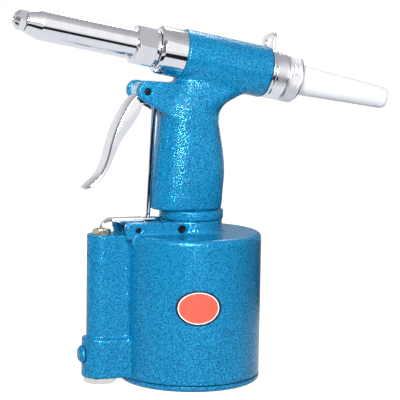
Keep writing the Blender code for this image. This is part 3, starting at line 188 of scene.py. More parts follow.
# %% Lathe helpers
def rounded(profile, radius, steps=4):
    """Each corner of a profile becomes an arc, a quadratic curve between points cut back along both edges."""
    points = np.asarray(profile, float)
    before, after = np.roll(points, 1, axis=0), np.roll(points, -1, axis=0)
    to_before, to_after = before - points, after - points
    length_before = np.linalg.norm(to_before, axis=1, keepdims=True)
    length_after = np.linalg.norm(to_after, axis=1, keepdims=True)
    reach = np.minimum(np.broadcast_to(np.reshape(radius, (-1, 1)), (len(points), 1)),
                       0.45 * np.minimum(length_before, length_after))
    start = points + to_before / length_before * reach
    end = points + to_after / length_after * reach
    t = np.linspace(0, 1, steps)[None, :, None]
    curve = (1 - t) ** 2 * start[:, None] + 2 * t * (1 - t) * points[:, None] + t ** 2 * end[:, None]
    return curve.reshape(-1, 2)


def denser(profile, step, outside):
    """A closed profile with points added, so that no edge outside a radius is longer than a step."""
    following = np.roll(profile, -1, axis=0)
    counts = np.maximum(1, np.ceil(np.linalg.norm(following - profile, axis=1) / step)).astype(int)
    counts = np.where(np.minimum(profile, following)[:, 0] > outside, counts, 1)
    edge = np.repeat(np.arange(len(profile)), counts)
    share = (np.arange(len(edge)) - np.repeat(np.cumsum(counts) - counts, counts)) / counts[edge]
    return profile[edge] + share[:, None] * (following - profile)[edge]


def spun(profile, segments=96, relief=None):
    """A closed profile of (radius, station) carried round the third axis: (r cos a, r sin a, station).

    A relief changes the radius by angle and station, for flats or knurls.
    """
    profile = np.concatenate([profile, profile[:1]])
    angle = np.linspace(0, 2 * np.pi, segments, endpoint=False)
    radius, station = profile[:, :1] + 0 * angle, profile[:, 1:] + 0 * angle
    if relief:
        radius = relief(radius, angle, station)
    points = np.stack([radius * np.cos(angle), radius * np.sin(angle), station], axis=-1)
    return points.reshape(-1, 3), grid_faces(len(profile), segments)


def turned(name, profile, finish, body, slot, *replaced, place=None, edge=0.3, segments=96, relief=None,
           step=None, outside=0.0):
    """A lathe part from a profile of (radius, station), with broken edges, put in place by a function."""
    profile = np.array(profile, float)
    profile = rounded(profile, np.where(profile[:, 0] < 0.001, 0, edge))
    if step:
        profile = denser(profile, step, outside)
    points, faces = spun(profile, segments, relief)
    return piece(name, raw_mesh(name, (place or on_barrel)(points), faces), finish, body, slot, *replaced)


def hexagonal(across_flats, low, high, first_flat=0.0):
    """A relief that holds the radius inside a hexagon: half the flats / cos(angle from the flat's middle)."""
    def relief(radius, angle, station):
        from_flat = (angle - first_flat + np.pi / 6) % (np.pi / 3) - np.pi / 6
        limit = across_flats / 2 / np.cos(from_flat)
        between = (station > low - 0.0001) & (station < high + 0.0001)
        return np.where(between, np.minimum(radius, limit), radius)
    return relief


def knurled(outer, low, high, pitch, depth):
    """A relief of crossed grooves: the lower of two triangle waves that twist opposite ways."""
    count = round(2 * np.pi * outer / pitch)

    def wave(turns):
        return np.abs(turns % 1 - 0.5) * 2

    def relief(radius, angle, station):
        round_way, twist = angle / (2 * np.pi) * count, (station - low) / pitch
        ridge = np.minimum(wave(round_way + twist), wave(round_way - twist))
        fade = np.clip(np.minimum(station - low, high - station) / 0.5, 0, 1)
        return radius - np.where(radius > outer - 0.02, depth * fade * (1 - ridge), 0)
    return relief


def standing_at(x):
    """Places a part that stands upright at a place along X."""
    return lambda local: local + np.array([x, 0.0, 0.0])


print("lathe helpers ready")

# %% [markdown]
# ## Camera
# The photograph is taken from a little above the barrel, with the nose to the left. The lens is long, so
# the tool hardly narrows with distance.

# %% Camera
scene = bpy.context.scene
VIEW_TURN, VIEW_RISE, VIEW_ROLL = (math.radians(angle) for angle in (20.0, 7.1, 1.0))
CAMERA_PLACE = np.array([-0.31741, -0.88794, 0.23113])


def outward(turn, rise):
    """Direction from the tool to a place turned from its near side and raised: (-sin cos, -cos cos, sin)."""
    return np.array([-math.sin(turn) * math.cos(rise), -math.cos(turn) * math.cos(rise), math.sin(rise)])


backward = outward(VIEW_TURN, VIEW_RISE)
level_right = np.array([math.cos(VIEW_TURN), -math.sin(VIEW_TURN), 0.0])
level_up = np.cross(backward, level_right)
right = math.cos(VIEW_ROLL) * level_right + math.sin(VIEW_ROLL) * level_up
upright_axis = np.cross(backward, right)
camera = bpy.data.objects.new("camera", bpy.data.cameras.new("camera"))
camera.data.lens = 135
camera.data.sensor_width = 36
placed = np.eye(4)
placed[:3, :4] = np.stack([right, upright_axis, backward, CAMERA_PLACE], axis=1)
camera.matrix_world = Matrix(placed.tolist())
scene.collection.objects.link(camera)
scene.camera = camera
scene.view_settings.view_transform = "Standard"
print("camera", np.round(CAMERA_PLACE, 3).tolist())

# %% [markdown]
# ## Shader sums as Python
# A material is a sum of patterns. Wire wraps one output of a shader node, so that patterns can be added,
# scaled and compared with ordinary operators. Its node method adds any other node.

# %% The Wire class
class Wire:
    """An output socket of a node tree that takes part in Python expressions."""

    def __init__(self, tree, socket=None):
        self.tree = tree
        self.socket = socket

    def node(self, kind, settings=None, inputs=None, output=0):
        """Adds a node, sets its settings first, then gives its sockets values or links."""
        made = self.tree.nodes.new(kind)
        for key, value in (settings or {}).items():
            if key == "stops":
                ramp = made.color_ramp.elements
                while len(ramp) < len(value):
                    ramp.new(0.5)
                for stop, (position, colour) in zip(ramp, value):
                    stop.position = position
                    stop.color = (*colour, 1.0)
            else:
                setattr(made, key, value)
        for key, value in (inputs or {}).items():
            if isinstance(value, Wire):
                self.tree.links.new(value.socket, made.inputs[key])
            else:
                made.inputs[key].default_value = value
        return Wire(self.tree, made.outputs[output])

    def math(self, operation, first, second):
        return self.node("ShaderNodeMath", {"operation": operation}, {0: first, 1: second})

    def __add__(self, other):
        return self.math("ADD", self, other)

    def __sub__(self, other):
        return self.math("SUBTRACT", self, other)

    def __rsub__(self, other):
        return self.math("SUBTRACT", other, self)

    def __mul__(self, other):
        return self.math("MULTIPLY", self, other)

    __radd__ = __add__
    __rmul__ = __mul__

    def step(self, low, high):
        """A smooth step from 0 at low to 1 at high."""
        return self.node("ShaderNodeMapRange", {"interpolation_type": "SMOOTHSTEP"},
                         {0: self, 1: low, 2: high})

    def mix(self, first, second):
        """A colour between two, by this value."""
        return self.node("ShaderNodeMix", {"data_type": "RGBA"}, {0: self, 6: first, 7: second}, 2)

    def noise(self, size, detail):
        """Cloudy noise of this feature size over these coordinates."""
        return self.node("ShaderNodeTexNoise", None,
                         {"Vector": self, "Scale": 1 / (size * MM), "Detail": detail})

    def cells(self, size):
        """Distance to the middle of cells of this size, smooth where they meet."""
        return self.node("ShaderNodeTexVoronoi", {"feature": "SMOOTH_F1"},
                         {"Vector": self, "Scale": 1 / (size * MM)})

    def dot(self, axis):
        """How far these coordinates go along an axis."""
        return self.node("ShaderNodeVectorMath", {"operation": "DOT_PRODUCT"}, {0: self, 1: tuple(axis)}, 1)

    def bump(self, depth, strength=1.0):
        """A normal that leans as if this height, times a depth, were real."""
        return self.node("ShaderNodeBump", None,
                         {"Height": self, "Distance": depth * MM, "Strength": strength})


def new_finish(name):
    """An empty Principled material: the material, its shader's sockets and its object coordinates."""
    material = bpy.data.materials.new(name)
    material.use_nodes = True
    tree = material.node_tree
    start = Wire(tree)
    coordinates = start.node("ShaderNodeTexCoord", output=3)
    return material, tree.nodes["Principled BSDF"].inputs, coordinates


def feed(socket, wire):
    """Links a varying value into a shader's socket."""
    wire.tree.links.new(wire.socket, socket)


print("shader helpers ready")

# %% [markdown]
# ## Hammered blue paint
# The castings wear a thick blue enamel that dries into small bumps, so that the surface looks beaten and
# glitters where a lamp meets it. Cells just under a millimetre across make the bumps, and finer noise makes
# the flakes in the enamel. The colour is darker in the pits between the bumps, which is painted shade, and
# paler on the ridges and flakes, which is partly real flake and partly a painted glint. The palest flakes are
# partly metal, so they glitter most. A thin clear coat lies over all of it.

# %% Blue paint
BUMP_SIZE, FLAKE_SIZE, BUMP_DEPTH = 0.80, 0.32, 0.21  # millimetres
# The darkest colour paints shade into the pits between the bumps; the palest is partly real flake and partly
# a painted glint.
PIT_SHADE, ENAMEL, FLAKE_AND_GLINT = (0.000, 0.058, 0.155), (0.000, 0.165, 0.365), (0.025, 0.400, 0.700)


def hammered_blue():
    """Blue enamel: painted shade in the valleys between its bumps; its flakes are pale, partly metal, and
    partly a painted glint.
    """
    material, shader, where = new_finish("hammered_blue_paint")
    bump = where.cells(BUMP_SIZE)
    flake = where.noise(FLAKE_SIZE, 1.0)
    # Low where the bumps dip, so the pits take painted shade; high on ridges and flakes, which take a painted
    # glint.
    tone = (flake * 0.75 + bump * 0.7 - 0.22).step(0.2, 0.7)
    stops = [(0.0, PIT_SHADE), (0.5, ENAMEL), (1.0, FLAKE_AND_GLINT)]
    feed(shader["Base Color"], tone.node("ShaderNodeValToRGB", {"stops": stops}, {0: tone}))
    feed(shader["Metallic"], tone.step(0.55, 1.0) * 0.65)
    feed(shader["Roughness"], 0.18 - 0.08 * flake)
    shader["IOR"].default_value = 1.30
    shader["Coat Weight"].default_value = 0.06
    shader["Coat Roughness"].default_value = 0.05
    feed(shader["Normal"], (bump * 0.9 + flake * 0.3).bump(BUMP_DEPTH))
    return material


BLUE = hammered_blue()
print(BLUE.name)

# %% [markdown]
# ## Bright metal, brass, steel, rubber and plastic
# Chrome is almost a mirror: what it shows is the studio, so it only needs a faint unevenness. Turned steel
# keeps fine tool marks. The brass gland is plain. The collector is milky plastic that lets light through.

# %% Metal finishes
def metal(name, colour, roughness, spread, grain, depth):
    """Metal whose roughness wavers by a spread, with a grain of this size and depth."""
    material, shader, where = new_finish(name)
    wave = where.noise(grain, 3.0)
    fine = where.noise(grain * 0.15, 1.0)
    shader["Metallic"].default_value = 1.0
    tone = wave.step(0.3, 0.7)
    feed(shader["Base Color"], tone.mix((*(0.94 * part for part in colour), 1), (*colour, 1)))
    feed(shader["Roughness"], roughness - spread / 2 + spread * wave)
    feed(shader["Normal"], (wave + fine * 0.4).bump(depth, 0.4))
    return material


CHROME = metal("bright_chrome", (0.90, 0.905, 0.92), 0.07, 0.03, 6, 0.004)
STEEL = metal("turned_steel", (0.52, 0.52, 0.54), 0.28, 0.12, 2, 0.01)
# Near-black steel: black oxide, and on the visible pin and screw ends also painted shade for their holes.
DARK_STEEL_AND_HOLE_SHADE = metal("black_steel_and_hole_shade", (0.025, 0.025, 0.028), 0.38, 0.12, 2, 0.01)
BRASS = metal("plain_brass", (0.93, 0.84, 0.62), 0.2, 0.1, 2, 0.008)
SATIN = metal("satin_chrome", (0.86, 0.86, 0.88), 0.34, 0.06, 2, 0.004)
NICKEL = metal("pale_nickel", (0.90, 0.88, 0.84), 0.25, 0.1, 2, 0.008)
ALUMINIUM = metal("turned_aluminium", (0.78, 0.78, 0.80), 0.3, 0.1, 2, 0.008)


def seal_rubber():
    """Black rubber with a faint grey bloom."""
    material, shader, where = new_finish("seal_rubber")
    bloom = where.noise(1.5, 3.0)
    feed(shader["Base Color"], bloom.mix((0.012, 0.012, 0.013, 1), (0.035, 0.035, 0.037, 1)))
    feed(shader["Roughness"], 0.55 + 0.2 * bloom)
    return material


def milky_plastic():
    """Cloudy white plastic that light enters."""
    material, shader, where = new_finish("milky_plastic")
    cloud = where.noise(12, 2.0)
    feed(shader["Base Color"], cloud.mix((0.72, 0.74, 0.77, 1), (0.80, 0.81, 0.83, 1)))
    feed(shader["Roughness"], 0.22 + 0.1 * cloud)
    shader["Subsurface Weight"].default_value = 0.35
    shader["Subsurface Radius"].default_value = (0.006, 0.006, 0.006)
    feed(shader["Normal"], cloud.bump(0.02, 0.3))
    return material


RUBBER = seal_rubber()
MILKY = milky_plastic()
print("finishes:", len(bpy.data.materials))

# %% [markdown]
# ## Studio light
# Everything outside the tool is stage: the floor, three lamps and the sky. All of it is white to the
# camera. Bright metal is a mirror, and in a studio it mirrors more than white paper, so reflections meet a
# banded room: a bank of light in front, a grey ceiling, a back wall that falls from light to dark, and a
# dark floor round the white sheet that the tool stands on.

# %% Stage
def floor():
    """A square far wider than the view, just below the tool's foot."""
    square = FLOOR_HALF * np.array([(-1, -1, 0), (1, -1, 0), (1, 1, 0), (-1, 1, 0)])
    mesh = raw_mesh("floor", square - (0, 0, FLOOR_DROP), np.array([[0, 1, 2, 3]]))
    made = bpy.data.objects.new("floor", mesh)
    made.data.materials.append(floor_finish())
    scene.collection.objects.link(made)


def is_ray(start, kind):
    """1 for rays of this kind, 0 for others."""
    path = start.node("ShaderNodeLightPath")
    return Wire(start.tree, path.socket.node.outputs[f"Is {kind} Ray"])


def by_ray(start, lighting, seen, mirrored):
    """One shader for rays that carry light, one for what is seen directly and one for reflections."""
    seen_too = is_ray(start, "Camera") + is_ray(start, "Transmission")
    direct = start.node("ShaderNodeMixShader", None, {0: seen_too, 1: lighting, 2: seen})
    return start.node("ShaderNodeMixShader", None, {0: is_ray(start, "Glossy"), 1: direct, 2: mirrored})


def floor_finish():
    """White to the camera; in reflections a white sheet under the tool with a dark floor round it."""
    material = bpy.data.materials.new("pale_floor")
    material.use_nodes = True
    tree = material.node_tree
    start = Wire(tree)
    where = start.node("ShaderNodeTexCoord", output=3)
    under_nose = where.node("ShaderNodeVectorMath", {"operation": "DISTANCE"}, {0: where, 1: SHEET_MIDDLE}, 1)
    away = where.node("ShaderNodeVectorMath", {"operation": "LENGTH"}, {0: where}, 1)
    front, sideways = (where.dot(axis) for axis in (TOWARD_CAMERA, level_right))
    aside = front.math("ARCTAN2", sideways, front)
    low, high = (math.radians(angle) for angle in DARK_SPAN)
    dark = under_nose.step(SHEET_EDGE, SHEET_EDGE + 0.05) * (1 - away.step(DARK_EDGE, DARK_EDGE + 0.15))
    dark = dark * aside.step(low - 0.4, low) * (1 - aside.step(high, high + 0.3))
    plain = start.node("ShaderNodeBsdfDiffuse", None, {"Color": (0.42, 0.42, 0.42, 1)})
    dim = start.node("ShaderNodeBsdfDiffuse", None, {"Color": (0.36, 0.36, 0.36, 1)})
    glow = start.node("ShaderNodeEmission", None, {"Color": (1, 1, 1, 1), "Strength": 0.96})
    lit = start.node("ShaderNodeAddShader", None, {0: dim, 1: glow})
    mirrored = start.node("ShaderNodeEmission", None,
                          {"Color": dark.mix((0.80, 0.82, 0.86, 1), (0.015, 0.015, 0.02, 1))})
    mixed = by_ray(start, plain, lit, mirrored)
    tree.links.new(mixed.socket, tree.nodes["Material Output"].inputs["Surface"])
    return material


def lamp(name, turn, rise, distance, size, power):
    """A square soft lamp that faces the tool, turned right of the camera and raised by these degrees."""
    turn, rise = VIEW_TURN - math.radians(turn), math.radians(rise)
    backward_axis = outward(turn, rise)
    sideways = np.cross([0.0, 0.0, 1.0], backward_axis)
    sideways = sideways / np.linalg.norm(sideways)
    place = MIDDLE + distance * backward_axis
    light = bpy.data.lights.new(name, "AREA")
    light.size = size
    light.energy = power
    made = bpy.data.objects.new(name, light)
    matrix = np.eye(4)
    matrix[:3, :4] = np.stack([sideways, np.cross(backward_axis, sideways), backward_axis, place], axis=1)
    made.matrix_world = Matrix(matrix.tolist())
    scene.collection.objects.link(made)
    return made


def white_sky():
    """White to the camera; for reflections the angle over the tool from front to back picks the band."""
    world = bpy.data.worlds.new("studio")
    scene.world = world
    world.use_nodes = True
    tree = world.node_tree
    start = Wire(tree)
    way = start.node("ShaderNodeTexCoord")
    front, sideways, height = (way.dot(axis) for axis in (TOWARD_CAMERA, level_right, (0, 0, 1)))
    over = height.math("ARCTAN2", height, front)
    aside = height.math("ARCTAN2", sideways, front)
    bank, ceiling, wall, left_end = (math.radians(angle) for angle in BAND_ENDS)
    lit = aside.step(left_end, left_end + 0.5).mix((0.22, 0.22, 0.24, 1), (1, 1, 1, 1))
    shade = over.step(bank, 2 * bank).mix((0.62, 0.62, 0.66, 1), (0.42, 0.42, 0.45, 1))
    grey = over.step(bank, bank + 0.1).mix(lit, shade)
    behind = sideways.step(-0.6, 0.5).mix((0.85, 0.85, 0.88, 1), (0.06, 0.06, 0.07, 1))
    bands = over.step(ceiling, wall).mix(grey, behind)
    white = start.node("ShaderNodeBackground", None, {"Color": (1, 1, 1, 1)})
    soft = start.node("ShaderNodeBackground", None, {"Color": (0.95, 0.97, 1.0, 1), "Strength": 0.26})
    mirrored = start.node("ShaderNodeBackground", None, {"Color": bands})
    mixed = by_ray(start, soft, white, mirrored)
    tree.links.new(mixed.socket, tree.nodes["World Output"].inputs["Surface"])


TOWARD_CAMERA = outward(VIEW_TURN, 0)
MIDDLE = np.array([0.0, 0.0, 0.11])
FLOOR_HALF, FLOOR_DROP = 6000, 0.2
SHEET_MIDDLE, SHEET_EDGE, DARK_EDGE = (-0.05, -0.06, 0.0), 0.29, 0.95
DARK_SPAN = -70, 150
BAND_ENDS = 52, 152, 170, -15
white_sky()
floor()
lamp("key_lamp", -8, 30, 0.85, 0.24, 7.9)
lamp("glint_lamp", 10, 12, 1.3, 0.16, 7.0)
lamp("back_lamp", 180, 48, 1.3, 0.55, 10.0)
print("stage set")

# %% [markdown]
# ## Castings as distance fields
# The grip and the cylinder are sand castings: plain solids that flow into each other through soft fillets.
# A distance field gives that: each plain solid is a formula for the distance to its skin, and a smooth
# minimum of two distances is a union with a fillet. The CAD node supplies a first skin; it is remeshed
# evenly and each point is then moved along the field's slope until the distance is zero.

# %% Field helpers
def smooth_union(first, second, fillet):
    """The lower of two distances, rounded where they are within a fillet of each other."""
    share = np.clip(0.5 + 0.5 * (second - first) / fillet, 0, 1)
    return second + (first - second) * share - fillet * share * (1 - share)


def smooth_cut(solid, hole, fillet):
    """A solid less a hole: the higher of the solid's distance and the hole's, turned, with a rounded rim."""
    return -smooth_union(-solid, hole, fillet)


def rounded_within(*past, edge):
    """Distance to where every signed distance is below zero, with rounded edges."""
    past = np.stack(past) + edge
    return np.linalg.norm(np.maximum(past, 0), axis=0) + np.minimum(past.max(axis=0), 0) - edge


def prism(plan, along, low, high, edge):
    """A plan distance raised between two stations, with rounded rims."""
    return rounded_within(plan, np.abs(along - (low + high) / 2) - (high - low) / 2, edge=edge)


def drum(radial, along, radius, low, high, edge):
    """Distance to a round bar between two stations, with rounded rims."""
    return prism(radial - radius, along, low, high, edge)


def slab(*pairs, edge):
    """Distance to a box from (offset from its middle, half size) pairs, with rounded edges."""
    return rounded_within(*(np.abs(offset) - half for offset, half in pairs), edge=edge)


def drilled(solid, *bores):
    """A solid less round bores, each given as (distance from its axis, place along it, radius, low, high)."""
    for bore in bores:
        solid = smooth_cut(solid, drum(*bore, 0.1), 0.5)
    return solid


def bar_between(first, second, start, end, radius_start, radius_end):
    """Distance in a plane to a bar with round ends whose radius changes evenly along it."""
    along = np.array(end) - np.array(start)
    share = np.clip(((first - start[0]) * along[0] + (second - start[1]) * along[1]) / (along @ along), 0, 1)
    gap = np.hypot(first - start[0] - share * along[0], second - start[1] - share * along[1])
    return gap - radius_start - (radius_end - radius_start) * share


def slope(field, points, reach=0.02):
    """The field's gradient by central differences."""
    steps = np.eye(3) * reach
    return np.stack([(field(points + step) - field(points - step)) / (2 * reach) for step in steps], axis=1)


def drawn_onto(field, points, rounds=5, limit=1.2):
    """Newton steps to the zero level: p - f g / |g|^2, each no longer than a limit."""
    for _ in range(rounds):
        gradient = slope(field, points)
        step = field(points)[:, None] * gradient / np.maximum((gradient ** 2).sum(1, keepdims=True), 1e-9)
        length = np.linalg.norm(step, axis=1, keepdims=True)
        points = points - step * np.minimum(1, limit / np.maximum(length, 1e-12))
    return points


def relaxed(points, edges, weight=0.5):
    """Each point moves towards the mean of its neighbours."""
    total = np.zeros_like(points)
    count = np.zeros(len(points))
    for here, there in ((0, 1), (1, 0)):
        np.add.at(total, edges[:, here], points[edges[:, there]])
        np.add.at(count, edges[:, here], 1)
    return points + weight * (total / np.maximum(count, 1)[:, None] - points)


def evaluated(holder):
    """The mesh that an object's modifiers or curve come to; the object itself is thrown away."""
    scene.collection.objects.link(holder)
    graph = bpy.context.evaluated_depsgraph_get()
    mesh = bpy.data.meshes.new_from_object(holder.evaluated_get(graph))
    bpy.data.objects.remove(holder)
    return mesh


def even_skin(node, voxel):
    """Points, edges and quads of a CAD node's merged copy, remeshed in even steps."""
    shape = bmesh.new()
    shape.from_mesh(nodes[node].data)
    bmesh.ops.remove_doubles(shape, verts=shape.verts, dist=5e-6)
    merged = bpy.data.meshes.new(node + "_merged")
    shape.to_mesh(merged)
    shape.free()
    holder = bpy.data.objects.new(node + "_merged", merged)
    remesh = holder.modifiers.new("even", "REMESH")
    remesh.mode = "VOXEL"
    remesh.voxel_size = voxel * MM
    even = evaluated(holder)
    edges = read(even.edges, "vertices", 2, np.int32)
    quads = read(even.loops, "vertex_index", 1, np.int32).reshape(-1, 4)
    return mesh_points(even), edges, quads


def casting(name, node, field, voxel, rounds=4):
    """A painted casting: the node's even skin, relaxed and drawn onto a field in turn."""
    points, edges, quads = even_skin(node, voxel)
    for _ in range(rounds):
        points = drawn_onto(field, relaxed(points, edges))
    points = drawn_onto(field, points, rounds)
    print(name, "largest distance left", round(float(np.abs(field(points)).max()), 3), "mm")
    return piece(name, raw_mesh(name, points, quads), BLUE, "frame", "paint", node, sharp_degrees=60)


def level_curve(levels, values):
    """A smooth curve through values at levels: cubic pieces that share their slopes where they meet."""
    levels, values = np.array(levels), np.array(values)
    gradient = np.gradient(values, levels)

    def curve(level):
        i = np.clip(np.searchsorted(levels, level) - 1, 0, len(levels) - 2)
        width = levels[i + 1] - levels[i]
        t = np.clip((level - levels[i]) / width, 0, 1)
        rise = values[i + 1] - values[i]
        start, end = gradient[i] * width, gradient[i + 1] * width
        bend, twist = 3 * rise - 2 * start - end, start + end - 2 * rise
        return values[i] + t * start + t ** 2 * bend + t ** 3 * twist
    return curve


print("field helpers ready")

# %% [markdown]
# ## Cylinder casting
# A drum with a domed shoulder, the valve block on its front, the stouter boss at the block's foot, two
# bracket walls on the crown and the neck that the grip screws into. The bores that the inner pieces need
# are cut from the same field.

# %% Cylinder casting
GAP = 0.3  # between pieces that meet
drum_foot, neck_top, _, DRUM_RADIUS = upright("cylinder_casting")
ring_foot, ring_top, _, RING_RADIUS = upright("lock_ring")
VALVE_X = upright("inlet_bushing")[2]
LEVER_AT = joint_place("lever_rock")
TRIGGER_AT = joint_place("trigger_squeeze")
CROWN = corners("valve_gland")[1, 2] - 3.1
DRUM_INSET = 0.12  # keeps the round skin inside the CAD box
NECK_RADIUS = 19.6
BORE_RADIUS = DRUM_RADIUS - 4
BLOCK_RADIUS = 9.1
BOSS_RADIUS = 11.9
BOSS_TOP = 29
BOSS_FOOT = corners("inlet_bushing")[0, 2] + 3.7
BRACKET_HALF = 15.5
BRACKET_WALL = 4.5
BRACKET_TOP = CROWN + 8.2
BRACKET_FRONT, BRACKET_ROUND = -44, 4.2
LOCK_SCREW_X = upright("lock_screw")[2]
SPIGOT_RADIUS = 15
VALVE_BORE, INLET_BORE = 6, 7.5
EXHAUST_RADIUS, EXHAUST_HEIGHT = 2.1, CROWN - 14
PASSAGE_RADIUS, PASSAGE_HEIGHT = 5.9, 18.5
LEVER_PIN_RADIUS, TRIGGER_PIN_RADIUS, LOCK_SCREW_RADIUS = 1.5, 1.9, 2.2


def stadium(x, y, radius):
    """Distance in plan to the valve block: round at the valve, then straight back into the drum."""
    return np.hypot(np.minimum(x - VALVE_X, 0) + np.maximum(x + DRUM_RADIUS * 0.8, 0), y) - radius


def cylinder_field(points):
    """Distance to the cylinder casting: smooth unions of its plain solids, less its bores."""
    x, y, z = points.T
    radial = np.hypot(x, y)
    at_valve = np.hypot(x - VALVE_X, y)
    body = drum(radial, z, DRUM_RADIUS - DRUM_INSET, drum_foot - 5, CROWN, 3.2)
    neck = drum(radial, z, NECK_RADIUS, CROWN - 5, neck_top, 0.5)
    block = prism(stadium(x, y, BLOCK_RADIUS), z, BOSS_TOP - 6, CROWN, 0.7)
    boss = prism(stadium(x, y, BOSS_RADIUS), z, BOSS_FOOT, BOSS_TOP, 0.9)
    across = np.abs(y) - BRACKET_HALF + BRACKET_WALL / 2
    bracket_line = BRACKET_TOP - BRACKET_ROUND
    side = bar_between(x, z, (BRACKET_FRONT, bracket_line), (LOCK_SCREW_X, bracket_line),
                       BRACKET_ROUND, BRACKET_ROUND)
    below = slab((x - (LOCK_SCREW_X - 47) / 2, (LOCK_SCREW_X + 47) / 2), (z - CROWN + 1, 5.5), edge=0.5)
    wall = prism(np.minimum(side, below), across, -BRACKET_WALL / 2, BRACKET_WALL / 2, 0.7)
    solid = smooth_union(body, block, 2.6)
    solid = smooth_union(solid, boss, 2.2)
    solid = smooth_union(solid, neck, 3.4)
    solid = smooth_union(solid, wall, 1.4)
    solid = np.maximum(solid, drum_foot - z)
    solid = smooth_cut(solid, drum(radial, z, BORE_RADIUS, drum_foot - 9, CROWN - 6, 0.5), 0.5)
    return drilled(
        solid,
        (radial, z, SPIGOT_RADIUS + GAP, CROWN - 9, neck_top + 9),
        (at_valve, z, VALVE_BORE, 0, CROWN + 5),
        (at_valve, z, INLET_BORE, 0, BOSS_FOOT + 17.3),
        (np.hypot(y, z - EXHAUST_HEIGHT), x, EXHAUST_RADIUS, VALVE_X - 15, VALVE_X),
        (np.hypot(y, z - PASSAGE_HEIGHT), x, PASSAGE_RADIUS, VALVE_X - 20, VALVE_X - 10.7),
        (np.hypot(x - LEVER_AT[0], z - LEVER_AT[2]), y, LEVER_PIN_RADIUS + GAP, -30, 30),
        (np.hypot(x - LOCK_SCREW_X, z - LEVER_AT[2]), y, LOCK_SCREW_RADIUS + GAP, -30, 0))


casting("cylinder_body", "cylinder_casting", cylinder_field, voxel=0.94)

# %% [markdown]
# ## Handle casting
# Barrel, grip and trigger ears are one casting. The grip's sections are superellipses whose front, back and
# width follow smooth curves up the handle. Below the barrel it sweeps back into a web.

# %% Handle casting
GRIP_FOOT = ring_top + GAP
COLLAR_LENGTH = 16.6
gland_back, collar_face, _ = stations("front_gland")
collar_back = collar_face - COLLAR_LENGTH
barrel_end = collar_back - GAP
barrel_rear = stations("hanger_ring")[1] + GAP
BARREL_RADIUS, BARREL_BORE = 16.2, 13
OIL_STATION = -2
GRIP_LEVELS = [  # height over the foot, front, back and half width
    (-3, -26.8, 18.6, 15.6), (0, -26.8, 18.6, 15.6), (2.8, -27.2, 19, 16.2), (12.3, -26.5, 19.6, 16.8),
    (23.7, -25.5, 20.3, 17), (36.1, -24.2, 19.1, 16.6), (47.5, -23, 17.1, 16), (56, -22.4, 15.9, 15.6),
    (61.7, -22.2, 17, 15.4), (66.4, -21.5, 21, 15.2), (70.2, -19, 28, 14.6), (74, -16, 34, 13.6),
    (81.6, -9, 35, 12.4), (87.3, -6, 32, 11)]
grip_heights, *grip_sections = np.transpose(GRIP_LEVELS)
grip_heights = grip_heights + GRIP_FOOT
grip_front, grip_back, grip_half = (level_curve(grip_heights, section) for section in grip_sections)
EAR_HALF, EAR_RADIUS, EAR_ROOT_RADIUS = 13.5, 6.4, 12.5
EAR_ROOT = np.array([-8, TRIGGER_AT[2] - 7.6])
SLOT_HALF, SLOT_BACK = 8.1, -21
CREASE_HALF, CREASE_WIDTH, CREASE_DEPTH = 10.8, 1.4, 0.8
OIL_WAY, RAM_WAY, ROD_WAY = 6, 10.3, 2.4
OIL_SEAT, OIL_THREAD = 5.4, 2.7
rod_axis = np.array(joints["pull_rod_lift"]["axis"])
rod_axis = rod_axis * np.sign(rod_axis[2])
ROD_FOOT = np.array([-28.7, 0.0, GRIP_FOOT])


def grip_distance(x, y, z):
    """Distance to the grip: (superellipse radius - 1) scaled by the slope of the section."""
    level = np.clip(z, grip_heights[0], grip_heights[-1])
    front, back, half = grip_front(level), grip_back(level), grip_half(level)
    reach = (back - front) / 2
    u, v = (x - (front + back) / 2) / reach, y / half
    size = np.maximum((np.abs(u) ** 2.5 + np.abs(v) ** 2.5) ** (1 / 2.5), 1e-6)
    pull = np.hypot(np.abs(u) ** 1.5 / reach, np.abs(v) ** 1.5 / half) / size ** 1.5
    return (size - 1) / np.maximum(pull, 1 / (2 * reach))


